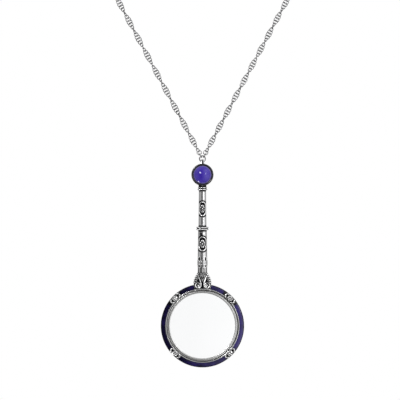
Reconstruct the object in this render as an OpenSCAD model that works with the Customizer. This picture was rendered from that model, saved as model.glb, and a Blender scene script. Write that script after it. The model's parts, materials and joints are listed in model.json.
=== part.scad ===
// Magnifier pendant on a long twisted chain, worn round the neck.
// Millimetres, +Z up. The front of the pendant faces -Y.
// The origin is at the nape of the neck, in the middle of the clasp ring.

/* [Lens frame] */
// Outer diameter of the round lens frame
frame_od = 38; // [36:0.5:42]
// Thickness of the frame, front to back
frame_thick = 4; // [3.6:0.1:4.8]
// Width of the thin outer edge of the frame
edge_w = 0.2; // [0.15:0.05:0.35]
// How far the outer edge lies below the silver lip
edge_drop = 0.2; // [0.1:0.05:0.3]
// Width of the enamel channel
channel_w = 1.9; // [1.6:0.1:2.3]
// Depth of the enamel channel
channel_depth = 0.9; // [0.7:0.05:1.1]
// Rise of the rounded top of the enamel
enamel_crown = 0.12; // [0.05:0.01:0.2]
// Width of the silver lip inside the channel
lip_w = 0.45; // [0.35:0.05:0.7]
// Chamfer at the back edge of the frame
back_chamfer = 0.4; // [0.2:0.05:0.6]

/* [Lens] */
// Width of the retaining rim round the glass
rim_w = 1.6; // [1.3:0.1:2]
// How far the rim lies below the silver lip
rim_drop = 0.15; // [0.05:0.05:0.25]
// Width of the dark groove round the rim
groove_w = 0.35; // [0.2:0.05:0.5]
// Depth of the dark groove round the rim
groove_depth = 0.45; // [0.2:0.05:0.6]
// How far the rim and the frame reach over the edge of the glass
lens_grip = 0.6; // [0.4:0.05:0.8]
// Thickness of the lens at its middle
lens_thick = 4.4; // [3:0.1:5]
// Thickness of the lens at its edge
lens_edge = 1.6; // [1.2:0.1:1.8]

/* [Plaques] */
// Length of a rosette plaque along the frame
plaque_len = 5.9; // [5:0.1:7]
// Height of a plaque above the silver lip
plaque_h = 0.35; // [0.25:0.05:0.5]
// Height of the relief on a plaque
plaque_relief = 0.25; // [0.15:0.05:0.35]
// Length that a plaque's cap reaches past its foot at each end
plaque_reach = 0.7; // [0.5:0.05:0.9]

/* [Scroll mount] */
// Greatest width of the scroll mount
mount_w = 8.7; // [8:0.1:10]
// Height of the scroll mount above the frame
mount_rise = 5.1; // [4.5:0.1:6]
// Thickness of its front and back plates
mount_plate = 0.8; // [0.6:0.05:1]
// Radius of the scrolls
scroll_r = 1.45; // [1.2:0.05:1.6]
// Thickness of the scroll's wire
scroll_wire = 0.7; // [0.5:0.05:0.8]
// Length that the plates reach past the enamel's ends
mount_reach = 0.6; // [0.4:0.05:0.8]

/* [Handle] */
// Length of the handle from the stone's cup to the scroll mount
handle_len = 39.7; // [35:0.1:46]
// Diameter of the handle at its lower end
handle_w = 4.5; // [4.1:0.1:4.9]
// Diameter of the middle collar
mid_collar_w = 5.6; // [5.3:0.1:6.2]
// Diameter of the top collar
top_collar_w = 4.6; // [4.3:0.1:5.2]
// Height of one ring of a collar
collar_h = 0.9; // [0.7:0.05:1.1]
// Height of a medallion
medallion_h = 7; // [6:0.1:7.6]
// Thickness of a medallion's crescents at their middle
crescent_w = 0.55; // [0.4:0.05:0.7]
// Width of plain metal between a crescent and the cut inside it
crescent_land = 0.12; // [0.08:0.02:0.2]
// Height of the relief on the handle
relief = 0.3; // [0.2:0.05:0.4]
// Depth of the cuts in the handle
cut_depth = 0.3; // [0.2:0.05:0.4]
// Number of flutes round the lower end
flute_count = 10; // [8:1:12]

/* [Stone] */
// Outer diameter of the stone's cup
cup_od = 10.1; // [9:0.1:12]
// Thickness of the cup, front to back
cup_thick = 4.4; // [4:0.1:5.5]
// Width of the cup's rim round the stone
cup_rim_w = 0.85; // [0.7:0.05:1.1]
// Rounding of the cup's back edge
cup_round = 1.2; // [0.8:0.1:1.6]
// Depth of the pocket that holds the stone
pocket_depth = 1.6; // [1.2:0.1:2]
// Height of the stone's straight side above the floor of the pocket
girdle_h = 1.2; // [0.9:0.05:1.2]
// Height of the stone's dome
dome_h = 2.4; // [1.6:0.1:2.8]

/* [Lug and rings] */
// Thickness of the lug at its top, across the pendant
lug_w = 1.1; // [0.9:0.05:1.3]
// Thickness of the lug at its foot
lug_base_w = 2.2; // [1.8:0.1:2.8]
// Width of metal round the lug's hole
lug_bar = 0.5; // [0.4:0.05:0.6]
// Distance from the centre of the lug's hole to the cup
lug_h = 0.95; // [0.9:0.05:1.5]
// Outer diameter of the jump ring
jump_od = 3.2; // [3:0.05:4]
// Wire diameter of the jump ring
jump_wire = 0.55; // [0.45:0.01:0.6]
// Outer diameter of an end link of the chain
link_od = 2.7; // [2.5:0.05:3.2]
// Wire diameter of an end link
link_wire = 0.42; // [0.35:0.01:0.45]
// Angle between an end link and the vertical
link_angle = 34; // [32:0.5:38]

/* [Chain] */
// Width of the twisted chain
chain_w = 2.6; // [2:0.1:3.2]

/* [Clasp] */
// Outer diameter of the clasp ring
clasp_od = 6; // [5.5:0.1:8]
// Wire diameter of the clasp ring
clasp_wire = 1.1; // [0.9:0.05:1.2]
// Outer diameter of the clasp's eye
eye_od = 2.4; // [2.2:0.05:3]
// Wire diameter of the clasp's eye
eye_wire = 0.56; // [0.45:0.01:0.65]
// Outer diameter of a clasp link
clasp_link_od = 3.1; // [2.9:0.05:3.6]
// Wire diameter of a clasp link
clasp_link_wire = 0.5; // [0.4:0.02:0.55]

/* [Fits] */
// Gap between cast or fitted pieces
seam = 0.05; // [0.03:0.01:0.08]
// Gap between the glass and its seat
glass_gap = 0.1; // [0.06:0.01:0.15]
// Gap between rings that hang in each other
hang_gap = 0.15; // [0.1:0.01:0.2]
// Gap between the jump ring's wire and the lug's hole
lug_gap = 0.22; // [0.2:0.01:0.3]

/* [Hidden] */
$fn = 64;
tiny = 0.01;
far = 60;

// Chosen points of the right half of the chain, from the jump ring to the nape.
// Millimetres from the middle of the jump ring: sideways, back, up.
ROUTE = [
  [0, 0, 0], [16, 0, 30], [32, 0, 60], [48, 0, 90], [64, 0, 120], [80, 3, 149],
  [93, 17, 174], [99, 42, 190], [94, 74, 199], [74, 103, 204], [40, 121, 205], [0, 127, 205]
];
// Spline steps between two chosen points
ROUTE_STEPS = 8;
// Rings of the tube on each side of the neck, and its sides
TUBE_RINGS = 40;
TUBE_SIDES = 8;
// A direction that the chain never follows, from which its rings are turned
TUBE_UP = [0.64, 0.3, -0.7];

// Handle sections from its top: [share of its length, share of its lower diameter]
HANDLE = [
  [0.000, 0.85], [0.052, 0.85], [0.056, 0.72], [0.450, 0.80],
  [0.520, 0.87], [0.560, 0.89], [0.866, 0.98], [0.869, 1.04],
  [0.907, 1.04], [0.910, 0.98], [1.000, 1.00]
];
// Places down the handle, as shares of its length
TOP_COLLAR_AT = 0.038;
MID_COLLAR_AT = 0.491;
MEDALLIONS_AT = [0.264, 0.668];
FLUTES_AT = 0.937;
// Side notches: [share of the length at the top, at the foot]
NOTCHES = [[0.821, 0.862], [0.912, 0.932]];
NOTCH_ANGLES = [52, 128, 232, 308];
NOTCH_W_SHARE = 0.22;

// Scroll mount outline: [share of its rise above the frame, share of its half width]
MOUNT = [
  [1.00, 0.55], [0.76, 0.66], [0.59, 0.79], [0.31, 0.89],
  [0.14, 0.93], [-0.10, 1.00], [-0.25, 0.97], [-0.42, 0.80]
];

// Lens frame radii
frame_r = frame_od / 2;
channel_or = frame_r - edge_w;
channel_ir = channel_or - channel_w;
channel_mid = (channel_or + channel_ir) / 2;
lip_ir = channel_ir - lip_w;
rim_or = lip_ir - seam;
rim_ir = rim_or - rim_w;
lens_r = rim_ir + lens_grip;
lens_pocket_r = lens_r + glass_gap;

// Lens frame heights, towards the front from the middle of the glass
front_h = frame_thick / 2;
edge_h = front_h - edge_drop;
floor_h = front_h - channel_depth;
lens_sag = (lens_thick - lens_edge) / 2;
lens_ball = (lens_r * lens_r + lens_sag * lens_sag) / (2 * lens_sag);
grip_h = lens_edge / 2 + lens_sag * (1 - pow(rim_ir / lens_r, 2));
seat_h = grip_h + glass_gap;
rim_h = front_h - rim_drop;

// Plaques and the ends of the enamel
plaque_angles = [45, 135, 225, 315];
plaque_foot = atan((plaque_len / 2 - plaque_reach) / channel_mid);
plaque_end_r = (channel_w + lip_w) / 2;
plaque_mid = (frame_r + lip_ir) / 2;
plaque_cap = atan((plaque_len / 2 - plaque_end_r) / plaque_mid);
plaque_base_h = front_h + seam;
mount_foot = asin((mount_w / 2 - mount_reach) / channel_mid);
seam_angle = atan(2 * seam / channel_mid);
// Enamel fills, counted from the top of the frame: [start angle, end angle]
ENAMEL = [
  [plaque_angles[0] + plaque_foot, 90 - mount_foot],
  [90 + mount_foot, plaque_angles[1] - plaque_foot],
  [plaque_angles[1] + plaque_foot, plaque_angles[2] - plaque_foot],
  [plaque_angles[2] + plaque_foot, plaque_angles[3] - plaque_foot],
  [plaque_angles[3] + plaque_foot, 360 + plaque_angles[0] - plaque_foot]
];

// Rings and lug
jump_r = (jump_od - jump_wire) / 2;
link_r = (link_od - link_wire) / 2;
lug_hole_r = jump_wire / 2 + lug_gap;
lug_r = lug_hole_r + lug_bar;
link_inner_at = jump_r - jump_wire / 2 - hang_gap - link_wire / 2;
link_at = link_inner_at + link_r;
link_far = link_at + link_od / 2;

// Heights of the pendant's pieces, from the middle of the jump ring
cup_r = cup_od / 2;
pivot_z = -jump_r;
cup_z = pivot_z - lug_h - cup_r;
handle_top = cup_z - cup_r;
handle_foot = handle_top - handle_len;
frame_z = handle_foot - seam - mount_rise - frame_r;
stone_r = cup_r - cup_rim_w - seam;
stone_floor = cup_thick / 2 - pocket_depth;
dome_ball = (stone_r * stone_r + dome_h * dome_h) / (2 * dome_h);

// Clasp places along the loop's back, sideways from the origin
clasp_r = (clasp_od - clasp_wire) / 2;
eye_r = (eye_od - eye_wire) / 2;
clasp_link_r = (clasp_link_od - clasp_link_wire) / 2;
eye_x = -(clasp_od / 2 + eye_r - eye_wire / 4);
right_link_x = clasp_r - clasp_wire / 2 - hang_gap - clasp_link_wire / 2 + clasp_link_r;
left_link_x = eye_x - eye_r + eye_wire / 2 + hang_gap + clasp_link_wire / 2 - clasp_link_r;

// Chain route as a smooth curve, with its length at each sample
route_last = len(ROUTE) - 1;
function route_knot(i) =
  i < 0 ? 2 * ROUTE[0] - ROUTE[1]
  : i > route_last ? [-ROUTE[route_last - 1][0], ROUTE[route_last - 1][1], ROUTE[route_last - 1][2]]
  : ROUTE[i];
function spline(a, b, c, d, t) =
  0.5 * (2 * b + (c - a) * t + (2 * a - 5 * b + 4 * c - d) * t * t
  + (3 * b - a - 3 * c + d) * t * t * t);
route = concat(
  [for (i = [0:route_last - 1], k = [0:ROUTE_STEPS - 1])
    spline(route_knot(i - 1), route_knot(i), route_knot(i + 1), route_knot(i + 2), k / ROUTE_STEPS)],
  [ROUTE[route_last]]
);
function lengths(points, i = 1, sum = [0]) =
  i >= len(points) ? sum
  : lengths(points, i + 1, concat(sum, [sum[i - 1] + norm(points[i] - points[i - 1])]));
route_s = lengths(route);
half_length = route_s[len(route) - 1];
route_axes = [for (axis = [0:2]) [for (i = [0:len(route) - 1]) [route_s[i], route[i][axis]]]];
function route_at(s) = [for (axis = [0:2]) lookup(s, route_axes[axis])];
function unit(v) = v / norm(v);

// The jump ring hangs in front of and below the nape
jump_at = [0, -ROUTE[route_last][1], -ROUTE[route_last][2]];

// Where the chain's tubes start and end along the route
front_s = link_far + 2 * seam;
right_s = half_length - (right_link_x + clasp_link_od / 2 + 2 * seam);
left_s = half_length - (-left_link_x + clasp_link_od / 2 + 2 * seam);

// Moves a piece drawn from the jump ring to its place
module hung() { translate(jump_at) children(); }

// Stands a shape drawn face up so that its face looks to the front
module facing() { rotate([90, 0, 0]) children(); }

// Puts a shape drawn face up from the middle of the glass in its place
module on_frame() { hung() translate([0, 0, frame_z]) facing() children(); }

// A plain wire ring, lying flat
module wire_ring(mean_r, wire) {
  rotate_extrude() translate([mean_r, 0]) circle(d = wire, $fn = 24);
}

// A tube along the chain's route from the jump ring's end to a length along it
module chain_tube(side, end_s) {
  step = (end_s - front_s) / (TUBE_RINGS - 1);
  centres = [for (i = [0:TUBE_RINGS - 1]) route_at(front_s + i * step)];
  points = [for (i = [0:TUBE_RINGS - 1])
    let (
      ahead = unit(centres[min(i + 1, TUBE_RINGS - 1)] - centres[max(i - 1, 0)]),
      across = unit(cross(ahead, TUBE_UP)),
      up = cross(across, ahead)
    )
    for (k = [0:TUBE_SIDES - 1])
      let (p = centres[i] + chain_w / 2 * (cos(360 * k / TUBE_SIDES) * across
        + sin(360 * k / TUBE_SIDES) * up))
      [side * p[0], p[1], p[2]]];
  walls = [for (i = [0:TUBE_RINGS - 2], k = [0:TUBE_SIDES - 1], half = [0, 1])
    let (a = i * TUBE_SIDES + k, b = i * TUBE_SIDES + (k + 1) % TUBE_SIDES)
    half == 0 ? [a, b, b + TUBE_SIDES] : [a, b + TUBE_SIDES, a + TUBE_SIDES]];
  first = [for (k = [TUBE_SIDES - 1:-1:0]) k];
  last = [for (k = [0:TUBE_SIDES - 1]) (TUBE_RINGS - 1) * TUBE_SIDES + k];
  faces = concat(walls, [first], [last]);
  flipped = [for (f = faces) [for (k = [len(f) - 1:-1:0]) f[k]]];
  hung() polyhedron(points, side > 0 ? faces : flipped);
}

module chain_left() { color("silver") chain_tube(-1, left_s); }
module chain_right() { color("silver") chain_tube(1, right_s); }

// An end link stands square to the jump ring, with its far side on the chain
module end_link(side) {
  hung() rotate([0, side * link_angle, 0]) translate([0, 0, link_at])
    rotate([0, 90, 0]) wire_ring(link_r, link_wire);
}
module left_end_link() { color("silver") end_link(-1); }
module right_end_link() { color("silver") end_link(1); }

module clasp() {
  color("silver") union() {
    facing() wire_ring(clasp_r, clasp_wire);
    translate([eye_x, 0, 0]) facing() wire_ring(eye_r, eye_wire);
  }
}
module clasp_link_left() {
  color("silver") translate([left_link_x, 0, 0]) wire_ring(clasp_link_r, clasp_link_wire);
}
module clasp_link_right() {
  color("silver") translate([right_link_x, 0, 0]) wire_ring(clasp_link_r, clasp_link_wire);
}

module jump_ring() { color("silver") hung() facing() wire_ring(jump_r, jump_wire); }

// The lug seen from the side is a rounded tab, seen from the front it widens to its foot
module lug() {
  foot = lug_h + cup_thick / 4;
  difference() {
    intersection() {
      rotate([90, 0, 90]) linear_extrude(far, center = true) union() {
        circle(lug_r);
        translate([-lug_r, -foot]) square([2 * lug_r, foot]);
      }
      facing() linear_extrude(far, center = true) polygon([
        [-lug_w / 2, 0], [-lug_w / 2, far], [lug_w / 2, far], [lug_w / 2, 0],
        [lug_base_w / 2, -lug_h], [lug_base_w / 2, -foot], [-lug_base_w / 2, -foot],
        [-lug_base_w / 2, -lug_h]
      ]);
    }
    rotate([0, 90, 0]) cylinder(r = lug_hole_r, h = far, center = true);
  }
}

// Half section of the cup: rounded rim at the front, rounded edge at the back
module cup_section() {
  half = cup_thick / 2;
  rim_mid = cup_r - cup_rim_w / 2;
  union() {
    translate([0, -half]) square([cup_r - cup_round, cup_thick - pocket_depth]);
    translate([0, cup_round - half]) square([cup_r, cup_thick - pocket_depth - cup_round]);
    translate([cup_r - cup_round, cup_round - half]) circle(cup_round, $fn = 48);
    translate([cup_r - cup_rim_w, -half + cup_round])
      square([cup_rim_w, cup_thick - cup_round - cup_rim_w / 2]);
    translate([rim_mid, half - cup_rim_w / 2]) circle(d = cup_rim_w, $fn = 32);
  }
}
module bezel_cup() {
  color("dimgray") hung() union() {
    translate([0, 0, cup_z]) facing() rotate_extrude() cup_section();
    translate([0, 0, pivot_z]) lug();
  }
}
module cabochon() {
  color("rebeccapurple") hung() translate([0, 0, cup_z]) facing()
    translate([0, 0, stone_floor + seam]) union() {
      cylinder(r = stone_r, h = girdle_h);
      intersection() {
        cylinder(r = stone_r, h = girdle_h + dome_h + tiny);
        translate([0, 0, girdle_h + dome_h - dome_ball]) sphere(dome_ball, $fn = 96);
      }
    }
}

// Radius of the plain handle at a share of its length
function handle_r(share) = handle_w / 2 * lookup(share, HANDLE);

// One rounded ring of a collar, at a depth below the handle's top
module collar_ring(depth, diameter) {
  translate([0, 0, -depth]) rotate_extrude() union() {
    translate([0, -collar_h / 2]) square([diameter / 2 - collar_h / 2, collar_h]);
    translate([diameter / 2 - collar_h / 2, 0]) circle(d = collar_h, $fn = 24);
  }
}

// A crescent with its back upwards, as wide as the handle there
module crescent(radius, thick) {
  difference() {
    circle(radius);
    translate([0, -thick]) circle(radius);
    translate([-far / 2, -far]) square([far, far]);
  }
}
// The two crescents that close a medallion, one at each end
module crescents(radius, height, thick) {
  for (flip = [0, 1]) mirror([0, flip]) translate([0, height / 2 - radius])
    crescent(radius, thick);
}
// Six petals round a middle
module petals(petal_r, ring_r) {
  union() {
    for (k = [0:5]) rotate(60 * k) translate([ring_r, 0]) circle(petal_r, $fn = 24);
    circle(ring_r, $fn = 32);
  }
}
module medallion_relief(share) {
  radius = handle_r(share) * 0.98;
  translate([0, 0, -share * handle_len]) {
    intersection() {
      facing() linear_extrude(far, center = true) union() {
        crescents(radius, medallion_h, crescent_w);
        petals(radius * 0.26, radius * 0.46);
      }
      cylinder(r = handle_r(share) + relief, h = medallion_h + 1, center = true);
    }
    intersection() {
      facing() linear_extrude(far, center = true) circle(radius * 0.2, $fn = 24);
      cylinder(r = handle_r(share) + 1.6 * relief, h = medallion_h, center = true);
    }
  }
}
module medallion_cuts(share) {
  radius = (handle_r(share) - cut_depth) * 0.95;
  translate([0, 0, -share * handle_len]) difference() {
    facing() linear_extrude(far, center = true)
      crescents(radius, medallion_h - 2 * crescent_w - 2 * crescent_land, crescent_w * 1.5);
    cylinder(r = handle_r(share) - cut_depth, h = far, center = true);
  }
}
module notch(rows, angle) {
  height = (rows[1] - rows[0]) * handle_len;
  rotate(angle) translate([handle_r(rows[0]) - cut_depth, -handle_w * NOTCH_W_SHARE / 2,
    -rows[1] * handle_len]) cube([handle_w, handle_w * NOTCH_W_SHARE, height]);
}
module flute(angle) {
  rotate(angle) translate([handle_w / 2, 0, -handle_len - 1])
    cylinder(r = cut_depth, h = (1 - FLUTES_AT) * handle_len + 1, $fn = 24);
}
module handle() {
  outline = concat(
    [for (row = HANDLE) [row[1] * handle_w / 2, -row[0] * handle_len]],
    [[0, -handle_len], [0, 0]]
  );
  color("gray") hung() translate([0, 0, handle_top]) difference() {
    union() {
      rotate_extrude() polygon(outline);
      cylinder(r = handle_r(0), h = cup_r / 4);
      collar_ring(TOP_COLLAR_AT * handle_len, top_collar_w);
      for (up = [-1, 1])
        collar_ring(MID_COLLAR_AT * handle_len + up * collar_h * 0.6, mid_collar_w);
      for (share = MEDALLIONS_AT) medallion_relief(share);
    }
    translate([0, 0, cup_r]) facing() cylinder(r = cup_r + seam, h = far, center = true);
    for (share = MEDALLIONS_AT) medallion_cuts(share);
    for (rows = NOTCHES, angle = NOTCH_ANGLES) notch(rows, angle);
    for (k = [0:flute_count - 1]) flute(360 * (k + 0.5) / flute_count);
  }
}

// Outline of the scroll mount, from the middle of the glass
module mount_outline() {
  half = mount_w / 2;
  right = [for (row = MOUNT) [row[1] * half, frame_r + row[0] * mount_rise]];
  left = [for (i = [len(right) - 1:-1:0]) [-right[i][0], right[i][1]]];
  difference() {
    union() {
      polygon(concat(right, left));
      for (side = [-1, 1]) translate([side * scroll_x, scroll_y]) circle(scroll_r);
    }
    circle(lip_ir + seam);
  }
}
scroll_x = mount_w / 2 - scroll_r - scroll_wire;
scroll_y = lip_ir + scroll_r + scroll_wire / 4;
mount_h = front_h + seam + mount_plate;
// A raised arc of scroll wire with round ends, from one angle to another
module scroll_arc(radius, from_angle, to_angle, wire) {
  rotate(from_angle) rotate_extrude(angle = to_angle - from_angle)
    translate([radius, 0]) circle(d = wire, $fn = 24);
  for (angle = [from_angle, to_angle]) rotate(angle) translate([radius, 0, 0])
    sphere(d = wire * 1.02, $fn = 24);
}
// Scrolls, their rising stems and leaves, and beads raised on one face of the mount
module mount_relief() {
  ring_r = scroll_r - scroll_wire / 2;
  stem_r = mount_rise * 1.3;
  bar_angle = mount_foot * 0.75;
  translate([0, 0, mount_h]) {
    for (side = [0, 1]) mirror([side, 0, 0]) translate([scroll_x, scroll_y, 0]) {
      wire_ring(ring_r, scroll_wire);
      sphere(scroll_wire * 0.7, $fn = 32);
      translate([stem_r - ring_r, 0, 0]) scroll_arc(stem_r, 146, 176, scroll_wire);
      translate([ring_r - stem_r, 0, 0]) scroll_arc(stem_r, 4, 34, scroll_wire * 0.9);
    }
    scroll_arc(lip_ir + seam + scroll_wire / 3, 90 - bar_angle, 90 + bar_angle, scroll_wire / 2);
  }
}
// The dark slot between the two scrolls, cut into both faces
module mount_slot() {
  slot_w = 2 * (scroll_x - scroll_r) * 0.8;
  for (face = [-1, 1]) translate([0, 0, face * mount_h])
    linear_extrude(mount_plate, center = true) union() {
      translate([-slot_w / 2, scroll_y - scroll_r / 2]) square([slot_w, scroll_r * 1.6]);
      translate([0, scroll_y - scroll_r / 2]) circle(d = slot_w, $fn = 24);
      translate([0, scroll_y + scroll_r * 1.1]) circle(d = slot_w, $fn = 24);
    }
}
module scroll_mount() {
  clear_h = front_h + seam;
  top = frame_r + mount_rise;
  color("gray") on_frame() difference() {
    union() {
      intersection() {
        linear_extrude(2 * mount_h, center = true) mount_outline();
        rotate([90, 0, 90]) linear_extrude(far, center = true) polygon([
          [lip_ir / 2, -mount_h], [frame_r + seam, -mount_h], [top, -handle_w / 2],
          [top, handle_w / 2], [frame_r + seam, mount_h], [lip_ir / 2, mount_h]
        ]);
      }
      intersection() {
        union() {
          mount_relief();
          mirror([0, 0, 1]) mount_relief();
        }
        translate([-far / 2, 0, -far / 2]) cube([far, top, far]);
      }
    }
    mount_slot();
    cylinder(r = frame_r + seam, h = 2 * clear_h, center = true, $fn = 128);
    cylinder(r = lip_ir + seam, h = far, center = true, $fn = 128);
  }
}

module lens_frame() {
  color("gray") on_frame() rotate_extrude($fn = 180) polygon([
    [rim_ir, -front_h], [frame_r - back_chamfer, -front_h], [frame_r, back_chamfer - front_h],
    [frame_r, edge_h], [channel_or, edge_h], [channel_or, floor_h], [channel_ir, floor_h],
    [channel_ir, front_h], [lip_ir, front_h], [lip_ir, seat_h], [lens_pocket_r, seat_h],
    [lens_pocket_r, -seat_h], [rim_ir, -seat_h]
  ]);
}
module lens_rim() {
  bevel = rim_w / 5;
  color("silver") on_frame() rotate_extrude($fn = 180) polygon([
    [rim_ir, seat_h + seam], [rim_or, seat_h + seam], [rim_or, rim_h - groove_depth],
    [rim_or - groove_w, rim_h], [rim_ir + bevel, rim_h], [rim_ir, rim_h - bevel]
  ]);
}
module lens() {
  color("aliceblue", 0.5) on_frame() intersection() {
    cylinder(r = lens_r, h = lens_thick + 1, center = true, $fn = 180);
    for_lens_face(1);
    for_lens_face(-1);
  }
}
// The ball that one face of the lens is a part of
module for_lens_face(side) {
  translate([0, 0, side * (lens_thick / 2 - lens_ball)]) sphere(lens_ball, $fn = 360);
}

// Section of the enamel, with a rounded top
module enamel_section() {
  half = channel_w / 2 - seam;
  edge = edge_h - seam;
  ball = (half * half + enamel_crown * enamel_crown) / (2 * enamel_crown);
  intersection() {
    translate([channel_mid - half, floor_h + seam]) square([2 * half, far]);
    translate([channel_mid, edge + enamel_crown - ball]) circle(ball, $fn = 180);
  }
}
module enamel(i) {
  color("midnightblue") on_frame() rotate(ENAMEL[i][0] + seam_angle)
    rotate_extrude(angle = ENAMEL[i][1] - ENAMEL[i][0] - 2 * seam_angle, $fn = 180)
      enamel_section();
}
module enamel_1() { enamel(0); }
module enamel_2() { enamel(1); }
module enamel_3() { enamel(2); }
module enamel_4() { enamel(3); }
module enamel_5() { enamel(4); }

// A plaque: a foot in the channel and a cap with round ends, a rosette and two leaves
module plaque(i) {
  cap_top = plaque_base_h + plaque_h;
  half = channel_w / 2 - seam;
  color("silver") on_frame() rotate(plaque_angles[i]) union() {
    rotate(-plaque_foot) rotate_extrude(angle = 2 * plaque_foot, $fn = 180)
      translate([channel_mid - half, floor_h + seam])
        square([2 * half, plaque_base_h + plaque_h / 2 - floor_h - seam]);
    rotate(-plaque_cap) rotate_extrude(angle = 2 * plaque_cap, $fn = 180)
      translate([plaque_mid - plaque_end_r, plaque_base_h])
        square([2 * plaque_end_r, plaque_h]);
    for (side = [0, 1]) mirror([0, side, 0]) rotate(plaque_cap) translate([plaque_mid, 0, 0]) {
      translate([0, 0, plaque_base_h]) cylinder(r = plaque_end_r, h = plaque_h);
      translate([0, 0, cap_top])
        scroll_arc(plaque_end_r - 1.3 * plaque_relief, 12, 168, 2 * plaque_relief);
    }
    translate([plaque_mid, 0, cap_top - tiny]) linear_extrude(plaque_relief + tiny)
      petals(plaque_end_r * 0.24, plaque_end_r * 0.5);
    translate([plaque_mid, 0, cap_top]) sphere(plaque_relief * 1.5, $fn = 32);
  }
}
module plaque_1() { plaque(0); }
module plaque_2() { plaque(1); }
module plaque_3() { plaque(2); }
module plaque_4() { plaque(3); }

chain_left();
chain_right();
left_end_link();
right_end_link();
clasp();
clasp_link_left();
clasp_link_right();
jump_ring();
bezel_cup();
cabochon();
handle();
scroll_mount();
lens_frame();
enamel_1();
enamel_2();
enamel_3();
enamel_4();
enamel_5();
plaque_1();
plaque_2();
plaque_3();
plaque_4();
lens_rim();
lens();
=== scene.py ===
"""Dresses the magnifier pendant necklace: its fine chain, cast silver, enamel, stone and glass.

Sizes are millimetres in the classes and become metres in the meshes. +Z is up, the front of the
pendant faces -Y, and the origin is at the nape of the neck, in the middle of the clasp ring.
Flat work is drawn face up (x across, y up, height towards the viewer) and then stood upright.
"""

import json
import logging
import math
from dataclasses import dataclass, field, replace
from enum import Enum
from typing import Iterable, Sequence

import bpy
import numpy as np
from mathutils import Matrix, Vector

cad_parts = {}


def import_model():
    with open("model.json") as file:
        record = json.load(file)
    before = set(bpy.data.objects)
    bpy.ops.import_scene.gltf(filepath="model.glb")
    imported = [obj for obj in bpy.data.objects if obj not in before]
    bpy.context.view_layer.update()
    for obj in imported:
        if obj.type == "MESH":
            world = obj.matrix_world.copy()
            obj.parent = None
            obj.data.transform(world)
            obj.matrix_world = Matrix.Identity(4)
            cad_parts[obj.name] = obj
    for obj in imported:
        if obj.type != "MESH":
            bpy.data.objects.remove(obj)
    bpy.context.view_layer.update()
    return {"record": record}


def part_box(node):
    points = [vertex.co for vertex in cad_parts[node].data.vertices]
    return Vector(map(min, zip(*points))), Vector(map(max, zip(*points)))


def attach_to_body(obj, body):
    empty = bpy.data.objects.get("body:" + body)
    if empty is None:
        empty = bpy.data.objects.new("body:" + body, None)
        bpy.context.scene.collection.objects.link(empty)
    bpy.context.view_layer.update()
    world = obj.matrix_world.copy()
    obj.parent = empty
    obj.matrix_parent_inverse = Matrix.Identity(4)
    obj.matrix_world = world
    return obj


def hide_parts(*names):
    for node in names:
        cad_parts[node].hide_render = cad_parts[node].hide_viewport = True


MM = 0.001
Array = np.ndarray
Colour = tuple[float, float, float, float]
Node, Socket, Tree = bpy.types.Node, bpy.types.NodeSocket, bpy.types.NodeTree
Material, Piece = bpy.types.Material, bpy.types.Object
Sockets = bpy.types.bpy_prop_collection
Pieces = dict[str, Piece]

log = logging.getLogger("necklace")


class Side(Enum):
    """The two sides of the necklace, seen from the front."""

    LEFT = -1
    RIGHT = 1


class Slot(Enum):
    """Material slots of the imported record."""

    CHAIN = "chain_silver"
    CAST = "antique_silver"
    RIM = "rim_silver"
    BLACK = "black_metal"
    STONE = "purple_stone"
    ENAMEL = "purple_enamel"
    GLASS = "lens_glass"


# ---- surfaces


@dataclass
class Shell:
    """A closed surface in millimetres.

    Attributes:
        points: One row of x, y and z for each vertex.
        faces: Vertex numbers, one array for each count of corners.
        recess: 1 where a vertex lies deep in a recess, 0 on plain ground, -1 on a rubbed crest.
        finish: Material number of the shell's faces.
    """

    points: Array
    faces: list[Array]
    recess: Array | None = None
    finish: int = 0

    def volume(self) -> float:
        """Signed volume, which is positive where the faces point outwards.

        Returns:
            The volume, in cubic millimetres.
        """
        total = 0.0
        for faces in self.faces:
            first = self.points[faces[:, 0]]
            for k in range(1, faces.shape[1] - 1):
                cross = np.cross(self.points[faces[:, k]], self.points[faces[:, k + 1]])
                total += float((first * cross).sum()) / 6
        return total

    def outward(self) -> "Shell":
        """The same shell with its faces pointing outwards."""
        if self.volume() < 0:
            self.faces = [faces[:, ::-1] for faces in self.faces]
        return self

    def upright(self, centre: Sequence[float] = (0, 0, 0)) -> "Shell":
        """Stands a shell that is drawn face up so that it looks to the front.

        Args:
            centre: Where the drawing's origin goes, in millimetres.

        Returns:
            A new shell.
        """
        x, y, height = self.points.T
        return replace(self, points=as_rows(x, -height, y) + np.asarray(centre))

    def moved(self, offset: Sequence[float]) -> "Shell":
        """The same shell, moved by an offset in millimetres."""
        return replace(self, points=self.points + np.asarray(offset))

    def turned_flat(self, degrees: float) -> "Shell":
        """The same shell, turned about the drawing's height axis."""
        angle = math.radians(degrees)
        c, s = math.cos(angle), math.sin(angle)
        return replace(self, points=self.points @ np.array([[c, s, 0], [-s, c, 0], [0, 0, 1]]))

    def mirrored(self, axis: int) -> "Shell":
        """The mirror image through the origin across one axis, still facing outwards."""
        points = self.points.copy()
        points[:, axis] *= -1
        return replace(self, points=points, faces=[faces[:, ::-1] for faces in self.faces])


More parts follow.
